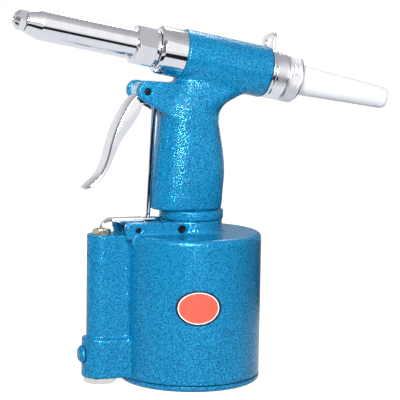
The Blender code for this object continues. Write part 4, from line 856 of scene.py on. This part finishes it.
def handle_field(points):
    """Distance to the handle casting: barrel, grip, ears and spigot with fillets, less slot and bores."""
    x, y, z = points.T
    up, far, along = barrel_coordinates(points).T
    round_barrel = np.hypot(up, far)
    barrel = drum(round_barrel, along, BARREL_RADIUS, barrel_rear, barrel_end, 1.0)
    grip_top = grip_heights[-1]
    crease = np.exp(-((np.abs(y) - CREASE_HALF) / CREASE_WIDTH) ** 2) * np.clip(-x / 8 - 1, 0, 1)
    crease = crease * np.clip(np.minimum(z - GRIP_FOOT - 4, GRIP_FOOT + 66 - z) / 8, 0, 1)
    plan = grip_distance(x, y, z) + CREASE_DEPTH * crease
    grip = prism(plan, z, GRIP_FOOT, grip_top + 2, 0.8)
    ear_side = bar_between(x, z, TRIGGER_AT[[0, 2]], EAR_ROOT, EAR_RADIUS, EAR_ROOT_RADIUS)
    tucked = y * (1 + 0.35 * np.clip((x + 27) / 19, 0, 1) ** 2)
    ears = prism(ear_side, tucked, -EAR_HALF, EAR_HALF, 1.6)
    ears = np.maximum(ears, x + 6)
    gap = slab((x - (SLOT_BACK - 60) / 2, (SLOT_BACK + 60) / 2), (y, SLOT_HALF),
               (z - TRIGGER_AT[2] + 5, 26), edge=0.5)
    ears = smooth_cut(ears, gap, 0.8)
    spigot = drum(np.hypot(x, y), z, SPIGOT_RADIUS, CROWN - 6, GRIP_FOOT + 4, 0.5)
    solid = smooth_union(barrel, grip, 5.0)
    solid = smooth_union(solid, ears, 4.5)
    solid = np.minimum(solid, spigot)
    offset = points - ROD_FOOT
    along_rod = offset @ rod_axis
    from_rod = np.linalg.norm(offset - along_rod[:, None] * rod_axis, axis=1)
    from_oil = np.hypot(up, along - OIL_STATION)
    return drilled(
        solid,
        (round_barrel, along, BARREL_BORE, barrel_rear - 9, barrel_end + 9),
        (np.hypot(x, y), z, OIL_WAY, CROWN - 20, GRIP_FOOT + 70),
        (np.hypot(x, y), z, RAM_WAY, CROWN - 20, CROWN + 2.3),
        (from_rod, along_rod, ROD_WAY, -9, 84),
        (np.hypot(x - TRIGGER_AT[0], z - TRIGGER_AT[2]), y, TRIGGER_PIN_RADIUS + GAP, -30, 30),
        (from_oil, far, OIL_SEAT, 15, 40),
        (from_oil, far, OIL_THREAD, 0, 40))


casting("handle_body", "handle_casting", handle_field, voxel=0.75)

# %% [markdown]
# ## Collar and nose
# The bright nose is a chain of lathe parts: the collar on the barrel, the housing with its hexagon, and the
# nosepiece that the rivet's mandrel goes into. A hexagon comes from a lathe blank too: its radius is held
# inside six flats, and where the blank is chamfered the flats end in arcs.

# %% Collar, nose housing and nosepiece
turned("collar", [
    (6.4, gland_back), (BARREL_BORE - GAP, gland_back), (BARREL_BORE - GAP, collar_back), (15, collar_back),
    (15, collar_face - 2), (13.6, collar_face), (10.7, collar_face), (10.7, collar_face - 6.3),
    (6.4, collar_face - 6.3)
], CHROME, "frame", "chrome", "front_gland")
nose_rear, nose_tip, _ = stations("nose_housing")
nose_foot = collar_face + GAP
hex_foot, hex_end = nose_foot + 2.2, nose_foot + 14.7
cone_foot = nose_tip - 9.5
HEX_CORNER = 13.5
turned("nose_tube", [
    (6.6, nose_tip), (9.5, cone_foot), (9.5, hex_end), (11.5, hex_end), (HEX_CORNER, hex_end - 1.1),
    (HEX_CORNER, hex_foot + 0.8), (12.2, hex_foot), (11.7, hex_foot), (11.7, nose_foot), (10.4, nose_foot),
    (10.4, nose_rear), (7.9, nose_rear), (7.9, nose_tip - 7.2), (4.7, nose_tip - 7.2), (4.7, nose_tip)
], CHROME, "frame", "chrome", "nose_housing", edge=0.25, segments=192, step=1.5,
   relief=hexagonal(23.4, hex_foot, hex_end))
piece_rear, face, _ = stations("nosepiece")
head_foot = nose_tip + GAP
head_end = head_foot + 4.6
turned("nosepiece_body", [
    (1.8, face), (3.4, face), (4, face - 0.5), (5.6, head_end), (6.9, head_end - 0.9),
    (6.9, head_foot + 0.5), (6.0, head_foot), (4.4, head_foot), (4.4, piece_rear), (1.8, piece_rear)
], CHROME, "frame", "chrome", "nosepiece", edge=0.2, segments=144, step=0.6,
   relief=hexagonal(12, head_foot, head_end))

# %% [markdown]
# ## Rear cap, collector ring and collector tube
# Both rings behind the barrel are knurled for the fingers. The knurl is real relief, crossed grooves cut into
# a lathe blank. The collector is a thin tapered plastic cup.

# %% Rear rings and collector
stub_end, spigot_front, _ = stations("rear_cap")
cap_front = stations("hanger_ring")[0] - GAP
cap_back = cap_front - 9.2
RING = 15.8
turned("rear_cap_body", [
    (BARREL_BORE - GAP, spigot_front), (BARREL_BORE - GAP, cap_front), (RING - 0.8, cap_front),
    (RING, cap_front - 0.8), (RING, cap_back + 0.8), (RING - 0.8, cap_back), (8.3, cap_back),
    (8.3, stub_end), (5.85, stub_end), (5.85, spigot_front)
], CHROME, "frame", "chrome", "rear_cap", segments=640, step=0.2, outside=RING - 0.1, edge=0.2,
   relief=knurled(RING, cap_back + 1.0, cap_front - 1.6, 1.25, 0.16))
ring_back, ring_front, _ = stations("collector_ring")
seat = ring_front - 0.45 * (ring_front - ring_back)
tube_end, tube_mouth, _ = stations("collector_tube")
turned("collector_ring_body", [
    (RING - 0.8, ring_front), (RING, ring_front - 0.8), (RING, ring_back + 1.6), (RING - 1.6, ring_back),
    (10.25, ring_back), (10.25, seat - 2.1), (12.05, seat - 2.1), (12.05, ring_front)
], SATIN, "collector_ring", "chrome", "collector_ring", segments=640, step=0.2, outside=RING - 0.1,
   edge=0.2, relief=knurled(RING, ring_back + 1.7, ring_front - 0.9, 1.25, 0.3))
turned("collector_cup", [
    (0, tube_end + 1.3), (5.0, tube_end + 1.3), (5.7, tube_end + 2.0), (8.6, ring_back), (8.6, tube_mouth),
    (11.7, tube_mouth), (11.7, seat - 1.8), (9.9, seat - 1.8), (9.9, ring_back), (7.0, tube_end + 2.5),
    (6.3, tube_end + 0.7), (4.5, tube_end), (0, tube_end)
], MILKY, "collector_tube", "collector_plastic", "collector_tube", segments=96)

# %% [markdown]
# ## Placing bars and arcs
# Pins and screws are lathe parts that lie along some direction. Stamped parts have outlines made of arcs.

# %% Bars and arcs
def arc_points(centre, radius, start, end, count):
    """Points on an arc between two angles in degrees."""
    angle = np.radians(np.linspace(start, end, count))
    return np.stack([centre[0] + radius * np.cos(angle), centre[1] + radius * np.sin(angle)], axis=1)


def rod_along(start, direction):
    """Places a lathe part whose third axis runs along a direction from a start point."""
    axis = np.array(direction) / np.linalg.norm(direction)
    first = np.cross(FAR if abs(axis[1]) < 0.9 else UPWARD, axis)
    first = first / np.linalg.norm(first)
    frame_rows = np.stack([first, np.cross(axis, first), axis])
    return lambda local: np.array(start) + local @ frame_rows


def crossing_y(x, z):
    """Places a lathe part that lies along Y."""
    return rod_along((x, 0.0, z), (0, 1, 0))


print("bars and arcs ready")

# %% [markdown]
# ## Hanger, pins and screws
# The hanger is a stamped washer with an eye, held between barrel and rear cap. Pins and screws are dark
# steel, and the oil screw on the far side sits on a brass washer. The near-black ends of the trigger pin, the
# lever pin and the lock screw are partly black oxide and partly painted shade for the holes they sit in.

# %% Hanger ring, pins and screws
hanger_rear, hanger_front, hanger_top = stations("hanger_ring")
HANGER_CLOCK = math.radians(10)
HANGER_STATION = (hanger_front + hanger_rear) / 2
TAB_HALF, TAB_CORNER = 9.5, 4
EYE_HEIGHT, EYE_RADIUS, EYE_HALF = 20.1, 3.1, 1.9


def hanger_outlines():
    """The washer with its tab, and the oval eye and round bore in it, as (side, up) points."""
    corner_side, corner_up = TAB_HALF - TAB_CORNER, hanger_top - TAB_CORNER
    meeting = math.degrees(math.acos(TAB_HALF / RING))
    around = np.concatenate([arc_points((corner_side, corner_up), TAB_CORNER, 0, 90, 12),
                             arc_points((-corner_side, corner_up), TAB_CORNER, 90, 180, 12),
                             arc_points((0, 0), RING, 180 - meeting, 360 + meeting, 90)])
    eye = np.concatenate([arc_points((EYE_HALF, EYE_HEIGHT), EYE_RADIUS, -90, 90, 24),
                          arc_points((-EYE_HALF, EYE_HEIGHT), EYE_RADIUS, 90, 270, 24)])
    return around, (eye, arc_points((0, 0), BARREL_BORE, 0, 360, 73)[:-1])


def stamped(name, outer, holes, thickness, edge, place, finish, body, slot, *replaced):
    """A stamped sheet with holes: a filled curve with thickness and a round bevel, made a mesh."""
    curve = bpy.data.curves.new(name, "CURVE")
    curve.dimensions = "2D"
    curve.fill_mode = "BOTH"
    curve.extrude = (thickness / 2 - edge) * MM
    curve.bevel_depth = edge * MM
    curve.bevel_resolution = 2
    curve.offset = -edge * MM
    for outline in (outer, *holes):
        spline = curve.splines.new("POLY")
        spline.points.add(len(outline) - 1)
        flat = np.stack([*np.transpose(outline) * MM, np.zeros(len(outline)), np.ones(len(outline))], axis=1)
        spline.points.foreach_set("co", flat.ravel())
        spline.use_cyclic_u = True
    mesh = evaluated(bpy.data.objects.new(name + "_curve", curve))
    mesh.vertices.foreach_set("co", (place(mesh_points(mesh)) * MM).astype(np.float32).ravel())
    mesh.materials.clear()
    return piece(name, mesh, finish, body, slot, *replaced)


def hanger_place(local):
    """Outline (side, up) clocked a little to the far side, then stood on the barrel at its station."""
    side, up, depth = local.T
    cos, sin = math.cos(HANGER_CLOCK), math.sin(HANGER_CLOCK)
    return on_barrel(np.stack([up * cos + side * sin, up * sin - side * cos, HANGER_STATION + depth], axis=1))


stamped("hanger_washer", *hanger_outlines(), hanger_front - hanger_rear, 0.25, hanger_place, CHROME,
        "frame", "chrome", "hanger_ring")


# The trigger pin, the lever pin and the lock screw are near black: painted shade for their holes on oxide
# steel.
for node, radius, centre in (("trigger_pin", TRIGGER_PIN_RADIUS, TRIGGER_AT),
                             ("lever_pin", LEVER_PIN_RADIUS, LEVER_AT)):
    half = upright(node)[3]
    turned(node + "_bar", [(0, half), (radius, half), (radius, -half), (0, -half)], DARK_STEEL_AND_HOLE_SHADE, "frame",
           "steel", node, place=crossing_y(centre[0], centre[2]), segments=32)
lock_low, lock_high = corners("lock_screw")[:, 1]
turned("lock_screw_body", [
    (0, lock_high), (LOCK_SCREW_RADIUS, lock_high), (LOCK_SCREW_RADIUS, lock_low), (1.2, lock_low),
    (1.2, lock_low + 1.4), (0, lock_low + 1.4)
], DARK_STEEL_AND_HOLE_SHADE, "frame", "steel", "lock_screw", place=crossing_y(LOCK_SCREW_X, LEVER_AT[2]), segments=36,
   edge=0.15)


def far_side(local):
    """Places the oil screw's lathe axis on the barrel's far side."""
    return on_barrel(np.stack([local[:, 0], local[:, 2], local[:, 1] + OIL_STATION], axis=1))


seat_far = 15.3
turned("oil_washer", [
    (4.2, seat_far + 1.2), (4.2, seat_far), (2.7, seat_far), (2.7, seat_far + 1.2)
], BRASS, "frame", "brass", "oil_screw_washer", place=far_side, segments=48, edge=0.15)
head_far = seat_far + 1.5
oil_top = head_far + 3.2
oil_socket = oil_top - 1.9
OIL_HEAD, SOCKET_RADIUS, SOCKET_FLATS = 4.2, 2.1, 3.5


def hex_socket(radius, angle, station):
    """A relief that turns a round socket into a hexagon: half the flats / cos(angle from the flat)."""
    in_socket = (np.abs(radius - SOCKET_RADIUS) < 0.4) & (station > oil_socket - 0.05)
    from_flat = (angle + np.pi / 6) % (np.pi / 3) - np.pi / 6
    return np.where(in_socket, SOCKET_FLATS / 2 / np.cos(from_flat), radius)


turned("oil_screw_body", [
    (0, oil_socket), (SOCKET_RADIUS, oil_socket), (SOCKET_RADIUS, oil_top), (OIL_HEAD, oil_top),
    (OIL_HEAD, head_far), (2.4, head_far), (2.4, 13.3), (0, 13.3)
], DARK_STEEL_AND_HOLE_SHADE, "frame", "steel", "oil_screw", place=far_side, segments=72, relief=hex_socket)

# %% [markdown]
# ## Cylinder fittings
# The bottom cover and the lock ring are painted lathe parts. The plug at the block's foot closes a drilled
# passage. Gland, pusher and air inlet sit on the valve's axis.

# %% Cover, ring, plug, gland, pusher and inlet
cover_foot, cover_top, _, COVER_RADIUS = upright("bottom_cover")
seal_low, seal_high, _, _ = upright("bottom_cover_seal")
turned("bottom_cover_plate", [
    (0, cover_top), (40.7, cover_top), (40.7, seal_high + GAP), (38.3, seal_high + GAP),
    (38.3, seal_low - GAP), (40.7, seal_low - GAP), (40.7, 3.5), (COVER_RADIUS, 3.5), (COVER_RADIUS, 1.4),
    (COVER_RADIUS - 1.4, cover_foot), (0, cover_foot)
], BLUE, "frame", "paint", "bottom_cover", place=standing_at(0), segments=128, edge=0.4)
turned("lock_ring_body", [
    (15.3, ring_top), (RING_RADIUS - 0.8, ring_top), (RING_RADIUS, ring_top - 0.8),
    (RING_RADIUS, ring_foot + 0.8), (RING_RADIUS - 0.8, ring_foot), (15.3, ring_foot)
], BLUE, "frame", "paint", "lock_ring", place=standing_at(0), segments=128, edge=0.5)
plug_face = VALVE_X - corners("passage_plug")[0, 0]
turned("passage_plug_body", [
    (0, plug_face), (3.6, plug_face), (5.6, plug_face - 1.8), (5.6, 11), (3.6, 11), (3.6, 8.9), (0, 8.9)
], BLUE, "frame", "paint", "passage_plug", place=rod_along((VALVE_X, 0, PASSAGE_HEIGHT), (-1, 0, 0)),
   segments=64, edge=0.7)
gland_foot, gland_top, _, _ = upright("valve_gland")
head = gland_top - 2.8
mouth = gland_top - 3.7
turned("gland_nut", [
    (2.7, mouth), (4.0, mouth), (4.0, gland_top), (4.9, gland_top), (6.06, gland_top - 0.6), (6.06, head),
    (5.7, head), (5.7, gland_foot), (2.7, gland_foot)
], BRASS, "frame", "brass", "valve_gland", place=standing_at(VALVE_X), segments=96, edge=0.15, step=0.5,
   relief=hexagonal(10.5, head, gland_top, np.pi / 6))
push_foot, push_top, _, _ = upright("valve_pusher")
turned("pusher_pin", [
    (0, push_top), (1.5, push_top - 0.3), (2.4, push_top - 1.44), (2.4, push_foot), (0, push_foot)
], STEEL, "valve_stem", "steel", "valve_pusher", place=standing_at(VALVE_X), segments=48, edge=0.5)
inlet_foot, inlet_top, _, _ = upright("inlet_bushing")
inlet_head = BOSS_FOOT - GAP
turned("air_inlet", [
    (2.8, inlet_top), (7.2, inlet_top), (7.2, inlet_head), (10.97, inlet_head), (10.97, inlet_foot + 0.9),
    (9.4, inlet_foot), (6.0, inlet_foot), (5.2, inlet_foot + 0.8), (5.2, inlet_top - 2),
    (2.8, inlet_top - 2)
], NICKEL, "frame", "chrome", "inlet_bushing", place=standing_at(VALVE_X), segments=144, edge=0.15,
   step=0.8, relief=hexagonal(19, inlet_foot, inlet_head, np.pi / 6))

# %% [markdown]
# ## Trigger, lever and pull rod
# Trigger and lever are bent sheet: a channel whose floor follows a curve and whose side flanges change
# depth along it. Each cross-section is the same ring of points, stretched to the depth of its station.

# %% Bent sheet
def left_of(path):
    """Unit normals on the left of a path of (x, z) samples: its direction turned by a right angle."""
    ahead = np.gradient(path, axis=0)
    ahead = ahead / np.linalg.norm(ahead, axis=1, keepdims=True)
    return np.stack([-ahead[:, 1], ahead[:, 0]], axis=1)


def channel_ring(half, sheet, depth, bend, steps=6):
    """Rings of (side, depth) round a channel: up a flange, over the floor, down the other, back inside."""
    depth, half = np.asarray(depth)[:, None], np.asarray(half)[:, None]
    turn = np.linspace(0, np.pi / 2, steps)
    floor = np.minimum(sheet, depth)
    bend = np.minimum(bend, 0.9 * depth)
    side = np.concatenate([-half, -half + bend * (1 - np.cos(turn))], axis=1)
    level = np.concatenate([depth, bend * (1 - np.sin(turn))], axis=1)
    inner = np.maximum(half - sheet, 0.3 * half)
    inside = np.concatenate([inner, inner, -inner, -inner], axis=1)
    inside_level = np.concatenate([depth, floor, floor, depth], axis=1)
    return np.stack([np.concatenate([side, -side[:, ::-1], inside], axis=1),
                     np.concatenate([level, level[:, ::-1], inside_level], axis=1)], axis=-1)


def channel(path, depth, half, sheet, bend):
    """A channel along (x, z) points: path + depth * inward, its sides across Y and its ends closed."""
    ring, inward = channel_ring(half, sheet, depth, bend), left_of(path)
    points = np.stack([path[:, None, 0] + ring[..., 1] * inward[:, None, 0], ring[..., 0],
                       path[:, None, 1] + ring[..., 1] * inward[:, None, 1]], axis=-1)
    count = points.shape[1]
    outer = np.arange(count - 4)
    fan = len(outer) // 2 - 1
    inside = np.array([count - 1] + [count - 2] * fan + [count - 3] * fan + [count - 4])
    cap = np.stack([outer[:-1], outer[1:], inside[1:], inside[:-1]], axis=1)
    ends = np.concatenate([cap[:, ::-1], cap + (len(points) - 1) * count])
    return points.reshape(-1, 3), np.concatenate([grid_faces(len(points), count), ends])


def smooth_path(points, count):
    """A smooth curve through (x, z) points: its samples, and how far along the samples and points lie."""
    points = np.array(points, float)
    along = np.concatenate([[0], np.cumsum(np.linalg.norm(np.diff(points, axis=0), axis=1))])
    spots = np.linspace(0, along[-1], count)
    return np.stack([level_curve(along, points[:, k])(spots) for k in (0, 1)], axis=1), spots, along


print("bent sheet ready")

# %% [markdown]
# The trigger's front runs from the hub between the ears to the finger tip. Its flanges are deepest below
# the hub. The hub and the forked tongue that lifts the pull rod are three plates on the pin.

# %% Trigger
TRIGGER_REACH, TRIGGER_DROP = 37.5, 59.4
TRIGGER_HALF, TRIGGER_SHEET, TRIGGER_BEND = 7.6, 2.0, 1.6


def trigger_blade():
    """The finger curve as shares of the reach and drop from the pivot to the tip."""
    shares = np.array([(-0.12, -0.02), (-0.27, -0.13), (-0.40, -0.27), (-0.505, -0.41), (-0.575, -0.545),
                       (-0.625, -0.67), (-0.69, -0.785), (-0.775, -0.88), (-0.88, -0.94), (-1.0, -1.0)])
    front = TRIGGER_AT[[0, 2]] + shares * (TRIGGER_REACH, TRIGGER_DROP)
    path, spots, along = smooth_path(front, 140)
    depth = level_curve(along, np.array([6.0, 8.6, 8.4, 6.8, 5.0, 3.8, 3.0, 2.5, 2.0, 1.5]))(spots)
    tip = np.clip((spots - along[-1] + 4) / 4, 0, 1)
    half = TRIGGER_HALF - 3.6 * (1 - np.sqrt(1 - 0.96 * tip ** 2))
    return channel(path, depth, half, TRIGGER_SHEET, TRIGGER_BEND)


def in_side_view(x, z, y):
    """Places a stamped outline drawn in (x, z) about a pivot, with its thickness across Y around a middle."""
    return lambda local: np.stack([x + local[:, 0], y + local[:, 2], z + local[:, 1]], axis=1)


piece("trigger_blade", raw_mesh("trigger_blade", *trigger_blade()), CHROME, "trigger", "chrome", "trigger")
hub_arc = arc_points((0, 0), 5.2, 10, 190, 24)
tongue = np.array([(-3.6, -7.2), (4.0, -8.0), (11.9, -5.0), (11.9, -2.0), (5.6, -2.0)])
no_tongue = np.array([(-3.6, -7.2), (4.0, -8.0), (4.8, -2.0)])
pin_hole = arc_points((0, 0), TRIGGER_PIN_RADIUS + GAP, 0, 360, 33)[:-1]
for side, (outline, middle, width) in enumerate(((tongue, -4.9, 5.4), (no_tongue, 0.0, 4.4),
                                                 (tongue, 4.9, 5.4))):
    stamped(f"trigger_hub_{side + 1}", np.concatenate([hub_arc, outline]), (pin_hole,), width, 0.25,
            in_side_view(TRIGGER_AT[0], TRIGGER_AT[2], middle), CHROME, "trigger", "chrome")

# %% [markdown]
# The valve lever is flat behind its pin, where a fork holds the pull rod's nut, and hooks down in front to
# the pusher. Its nose narrows, so that it dips into the gland.

# %% Lever
fork_end, _, lever_top = corners("valve_lever")[1]
LEVER_SHEET, LEVER_BEND, LEVER_HALF = 1.6, 1.2, 5.5
HOOK_RADIUS, HOOK_NOSE = 8, VALVE_X - 2


def lever_blade():
    """A flat channel with a hook at its nose; its flanges are deepest at the pin."""
    turn = np.radians(np.linspace(90, 167, 24))
    middle = HOOK_NOSE + HOOK_RADIUS
    hook = np.stack([middle + HOOK_RADIUS * np.cos(turn),
                     lever_top - HOOK_RADIUS + HOOK_RADIUS * np.sin(turn)], axis=1)
    flat = np.stack([np.linspace(-33.2, middle + 0.5, 40), np.full(40, lever_top)], axis=1)
    path = np.concatenate([flat, hook])
    x = path[:, 0]
    deep = np.interp(x, (-54, -50, -45, -42, -39.5, -37, -34.5, -33),
                     (1.6, 2.2, 4.4, 7.6, 8.3, 7.6, 1.8, 1.6))
    half = np.interp(x, (-58.3, -53), (2.5, LEVER_HALF))
    return channel(path, deep, half, LEVER_SHEET, LEVER_BEND)


piece("lever_blade", raw_mesh("lever_blade", *lever_blade()), CHROME, "valve_lever", "chrome", "valve_lever")
prong = np.array([(-34, 2.2), (fork_end, 2.2), (fork_end, LEVER_HALF), (-34, LEVER_HALF)])
for side, sign in enumerate((-1, 1)):
    outline = rounded(prong * (1, sign), 0.8)
    stamped(f"lever_prong_{side + 1}", outline[::sign], (), LEVER_SHEET, 0.2,
            lambda local: local + np.array([0, 0, lever_top - LEVER_SHEET / 2]), CHROME, "valve_lever",
            "chrome")

# %% [markdown]
# ## Pull rod
# A steel rod with a ball that hangs in the trigger's fork, and a domed nut below the lever's fork.

# %% Pull rod
BALL, DOME_START = 2.8, 52  # the radius of both round ends, and the angle at which the nut's dome starts
rod_points = (points_of("pull_rod") - ROD_FOOT) @ rod_axis
rod_low, rod_high = rod_points.min(), rod_points.max()
ball = arc_points((0, rod_high - BALL), BALL, 90, -57, 16)
turned("pull_rod_bar", [
    *ball, (1.5, rod_low), (0, rod_low)
], CHROME, "pull_rod", "steel", "pull_rod", place=rod_along(ROD_FOOT, rod_axis), segments=40, edge=0.1)
nut_points = (points_of("pull_rod_nut") - ROD_FOOT) @ rod_axis
nut_middle = nut_points.max() - BALL * math.sin(math.radians(DOME_START))
dome = arc_points((0, nut_middle), BALL, DOME_START, -40, 12)
turned("pull_rod_nut_body", [
    *dome, (1.7, dome[-1, 1]), (1.7, dome[0, 1])
], STEEL, "pull_rod", "steel", "pull_rod_nut", place=rod_along(ROD_FOOT, rod_axis), segments=40, edge=0.1)

# %% [markdown]
# ## Oval label
# A plain oval label on the drum: a red field inside a white line and a dark rim. It carries no words. Each
# point keeps its share of the way from the middle to the rim, and the material colours the label by that
# share.

# %% Label
def label_finish():
    """Red inside, then a white line and a dark rim, by the share of the way to the edge."""
    material, shader, where = new_finish("oval_label")
    share = where.node("ShaderNodeAttribute", {"attribute_name": "rim_share"}, output=2)
    wear = where.noise(2.5, 3.0)
    red = wear.mix((0.80, 0.095, 0.065, 1), (0.86, 0.115, 0.080, 1))
    white = wear.mix((0.88, 0.88, 0.88, 1), (0.95, 0.95, 0.95, 1))
    dark = wear.mix((0.008, 0.010, 0.020, 1), (0.014, 0.016, 0.028, 1))
    line = share.step(LINE_START - 0.006, LINE_START + 0.006)
    rim = share.step(LINE_END - 0.006, LINE_END + 0.006)
    feed(shader["Base Color"], rim.mix(line.mix(red, white), dark))
    feed(shader["Roughness"], 0.26 + 0.12 * wear)
    shader["IOR"].default_value = 1.3
    return material


def oval_label():
    """Points of the oval wrapped on the drum: angle = centre + side / radius, height = middle + rise."""
    share = np.concatenate([np.linspace(0, 1, 48), [1.004, 1.004]])
    lift = np.concatenate([np.full(48, 0.10), [0.085, -0.05]])
    angle = np.linspace(0, 2 * np.pi, 128, endpoint=False)
    side = share[:, None] * LABEL_HALF[0] * np.cos(angle)
    rise = share[:, None] * LABEL_HALF[1] * np.sin(angle)
    radius = LABEL_RADIUS + lift[:, None] + 0 * side
    around = LABEL_ANGLE + side / LABEL_RADIUS
    points = np.stack([radius * np.cos(around), radius * np.sin(around), LABEL_HEIGHT + rise], axis=-1)
    mesh = raw_mesh("oval_label", points.reshape(-1, 3), grid_faces(len(share), len(angle)))
    attribute = mesh.attributes.new("rim_share", "FLOAT", "POINT")
    attribute.data.foreach_set("value", np.repeat(share, len(angle)).astype(np.float32))
    return piece("oval_label", mesh, label_finish(), "frame", "paint")


LINE_START, LINE_END = 0.855, 0.905
LABEL_RADIUS = DRUM_RADIUS - DRUM_INSET
LABEL_HALF, LABEL_HEIGHT, LABEL_ANGLE = (14.3, 10.9), 52.5, math.radians(-102.5)
oval_label()

# %% [markdown]
# ## Inner pieces
# The pieces inside keep their CAD shape and take a finish of their own.

# %% Finishes of the inner pieces
INNER = {
    STEEL: ("ram", "ram_nut", "pull_piston", "jaw_case", "jaw_1", "jaw_2", "jaw_3", "jaw_pusher"),
    DARK_STEEL_AND_HOLE_SHADE: ("valve_spring", "return_spring", "jaw_spring"),
    ALUMINIUM: ("air_piston",),
    BRASS: ("valve_seat", "ram_gland"),
    RUBBER: ("bottom_cover_seal", "air_piston_seal", "ram_seal", "front_gland_seal", "pull_piston_seal",
             "valve_poppet"),
}
for finish, names in INNER.items():
    for name in names:
        nodes[name].data.materials.clear()
        nodes[name].data.materials.append(finish)
print("inner pieces:", sum(len(names) for names in INNER.values()))
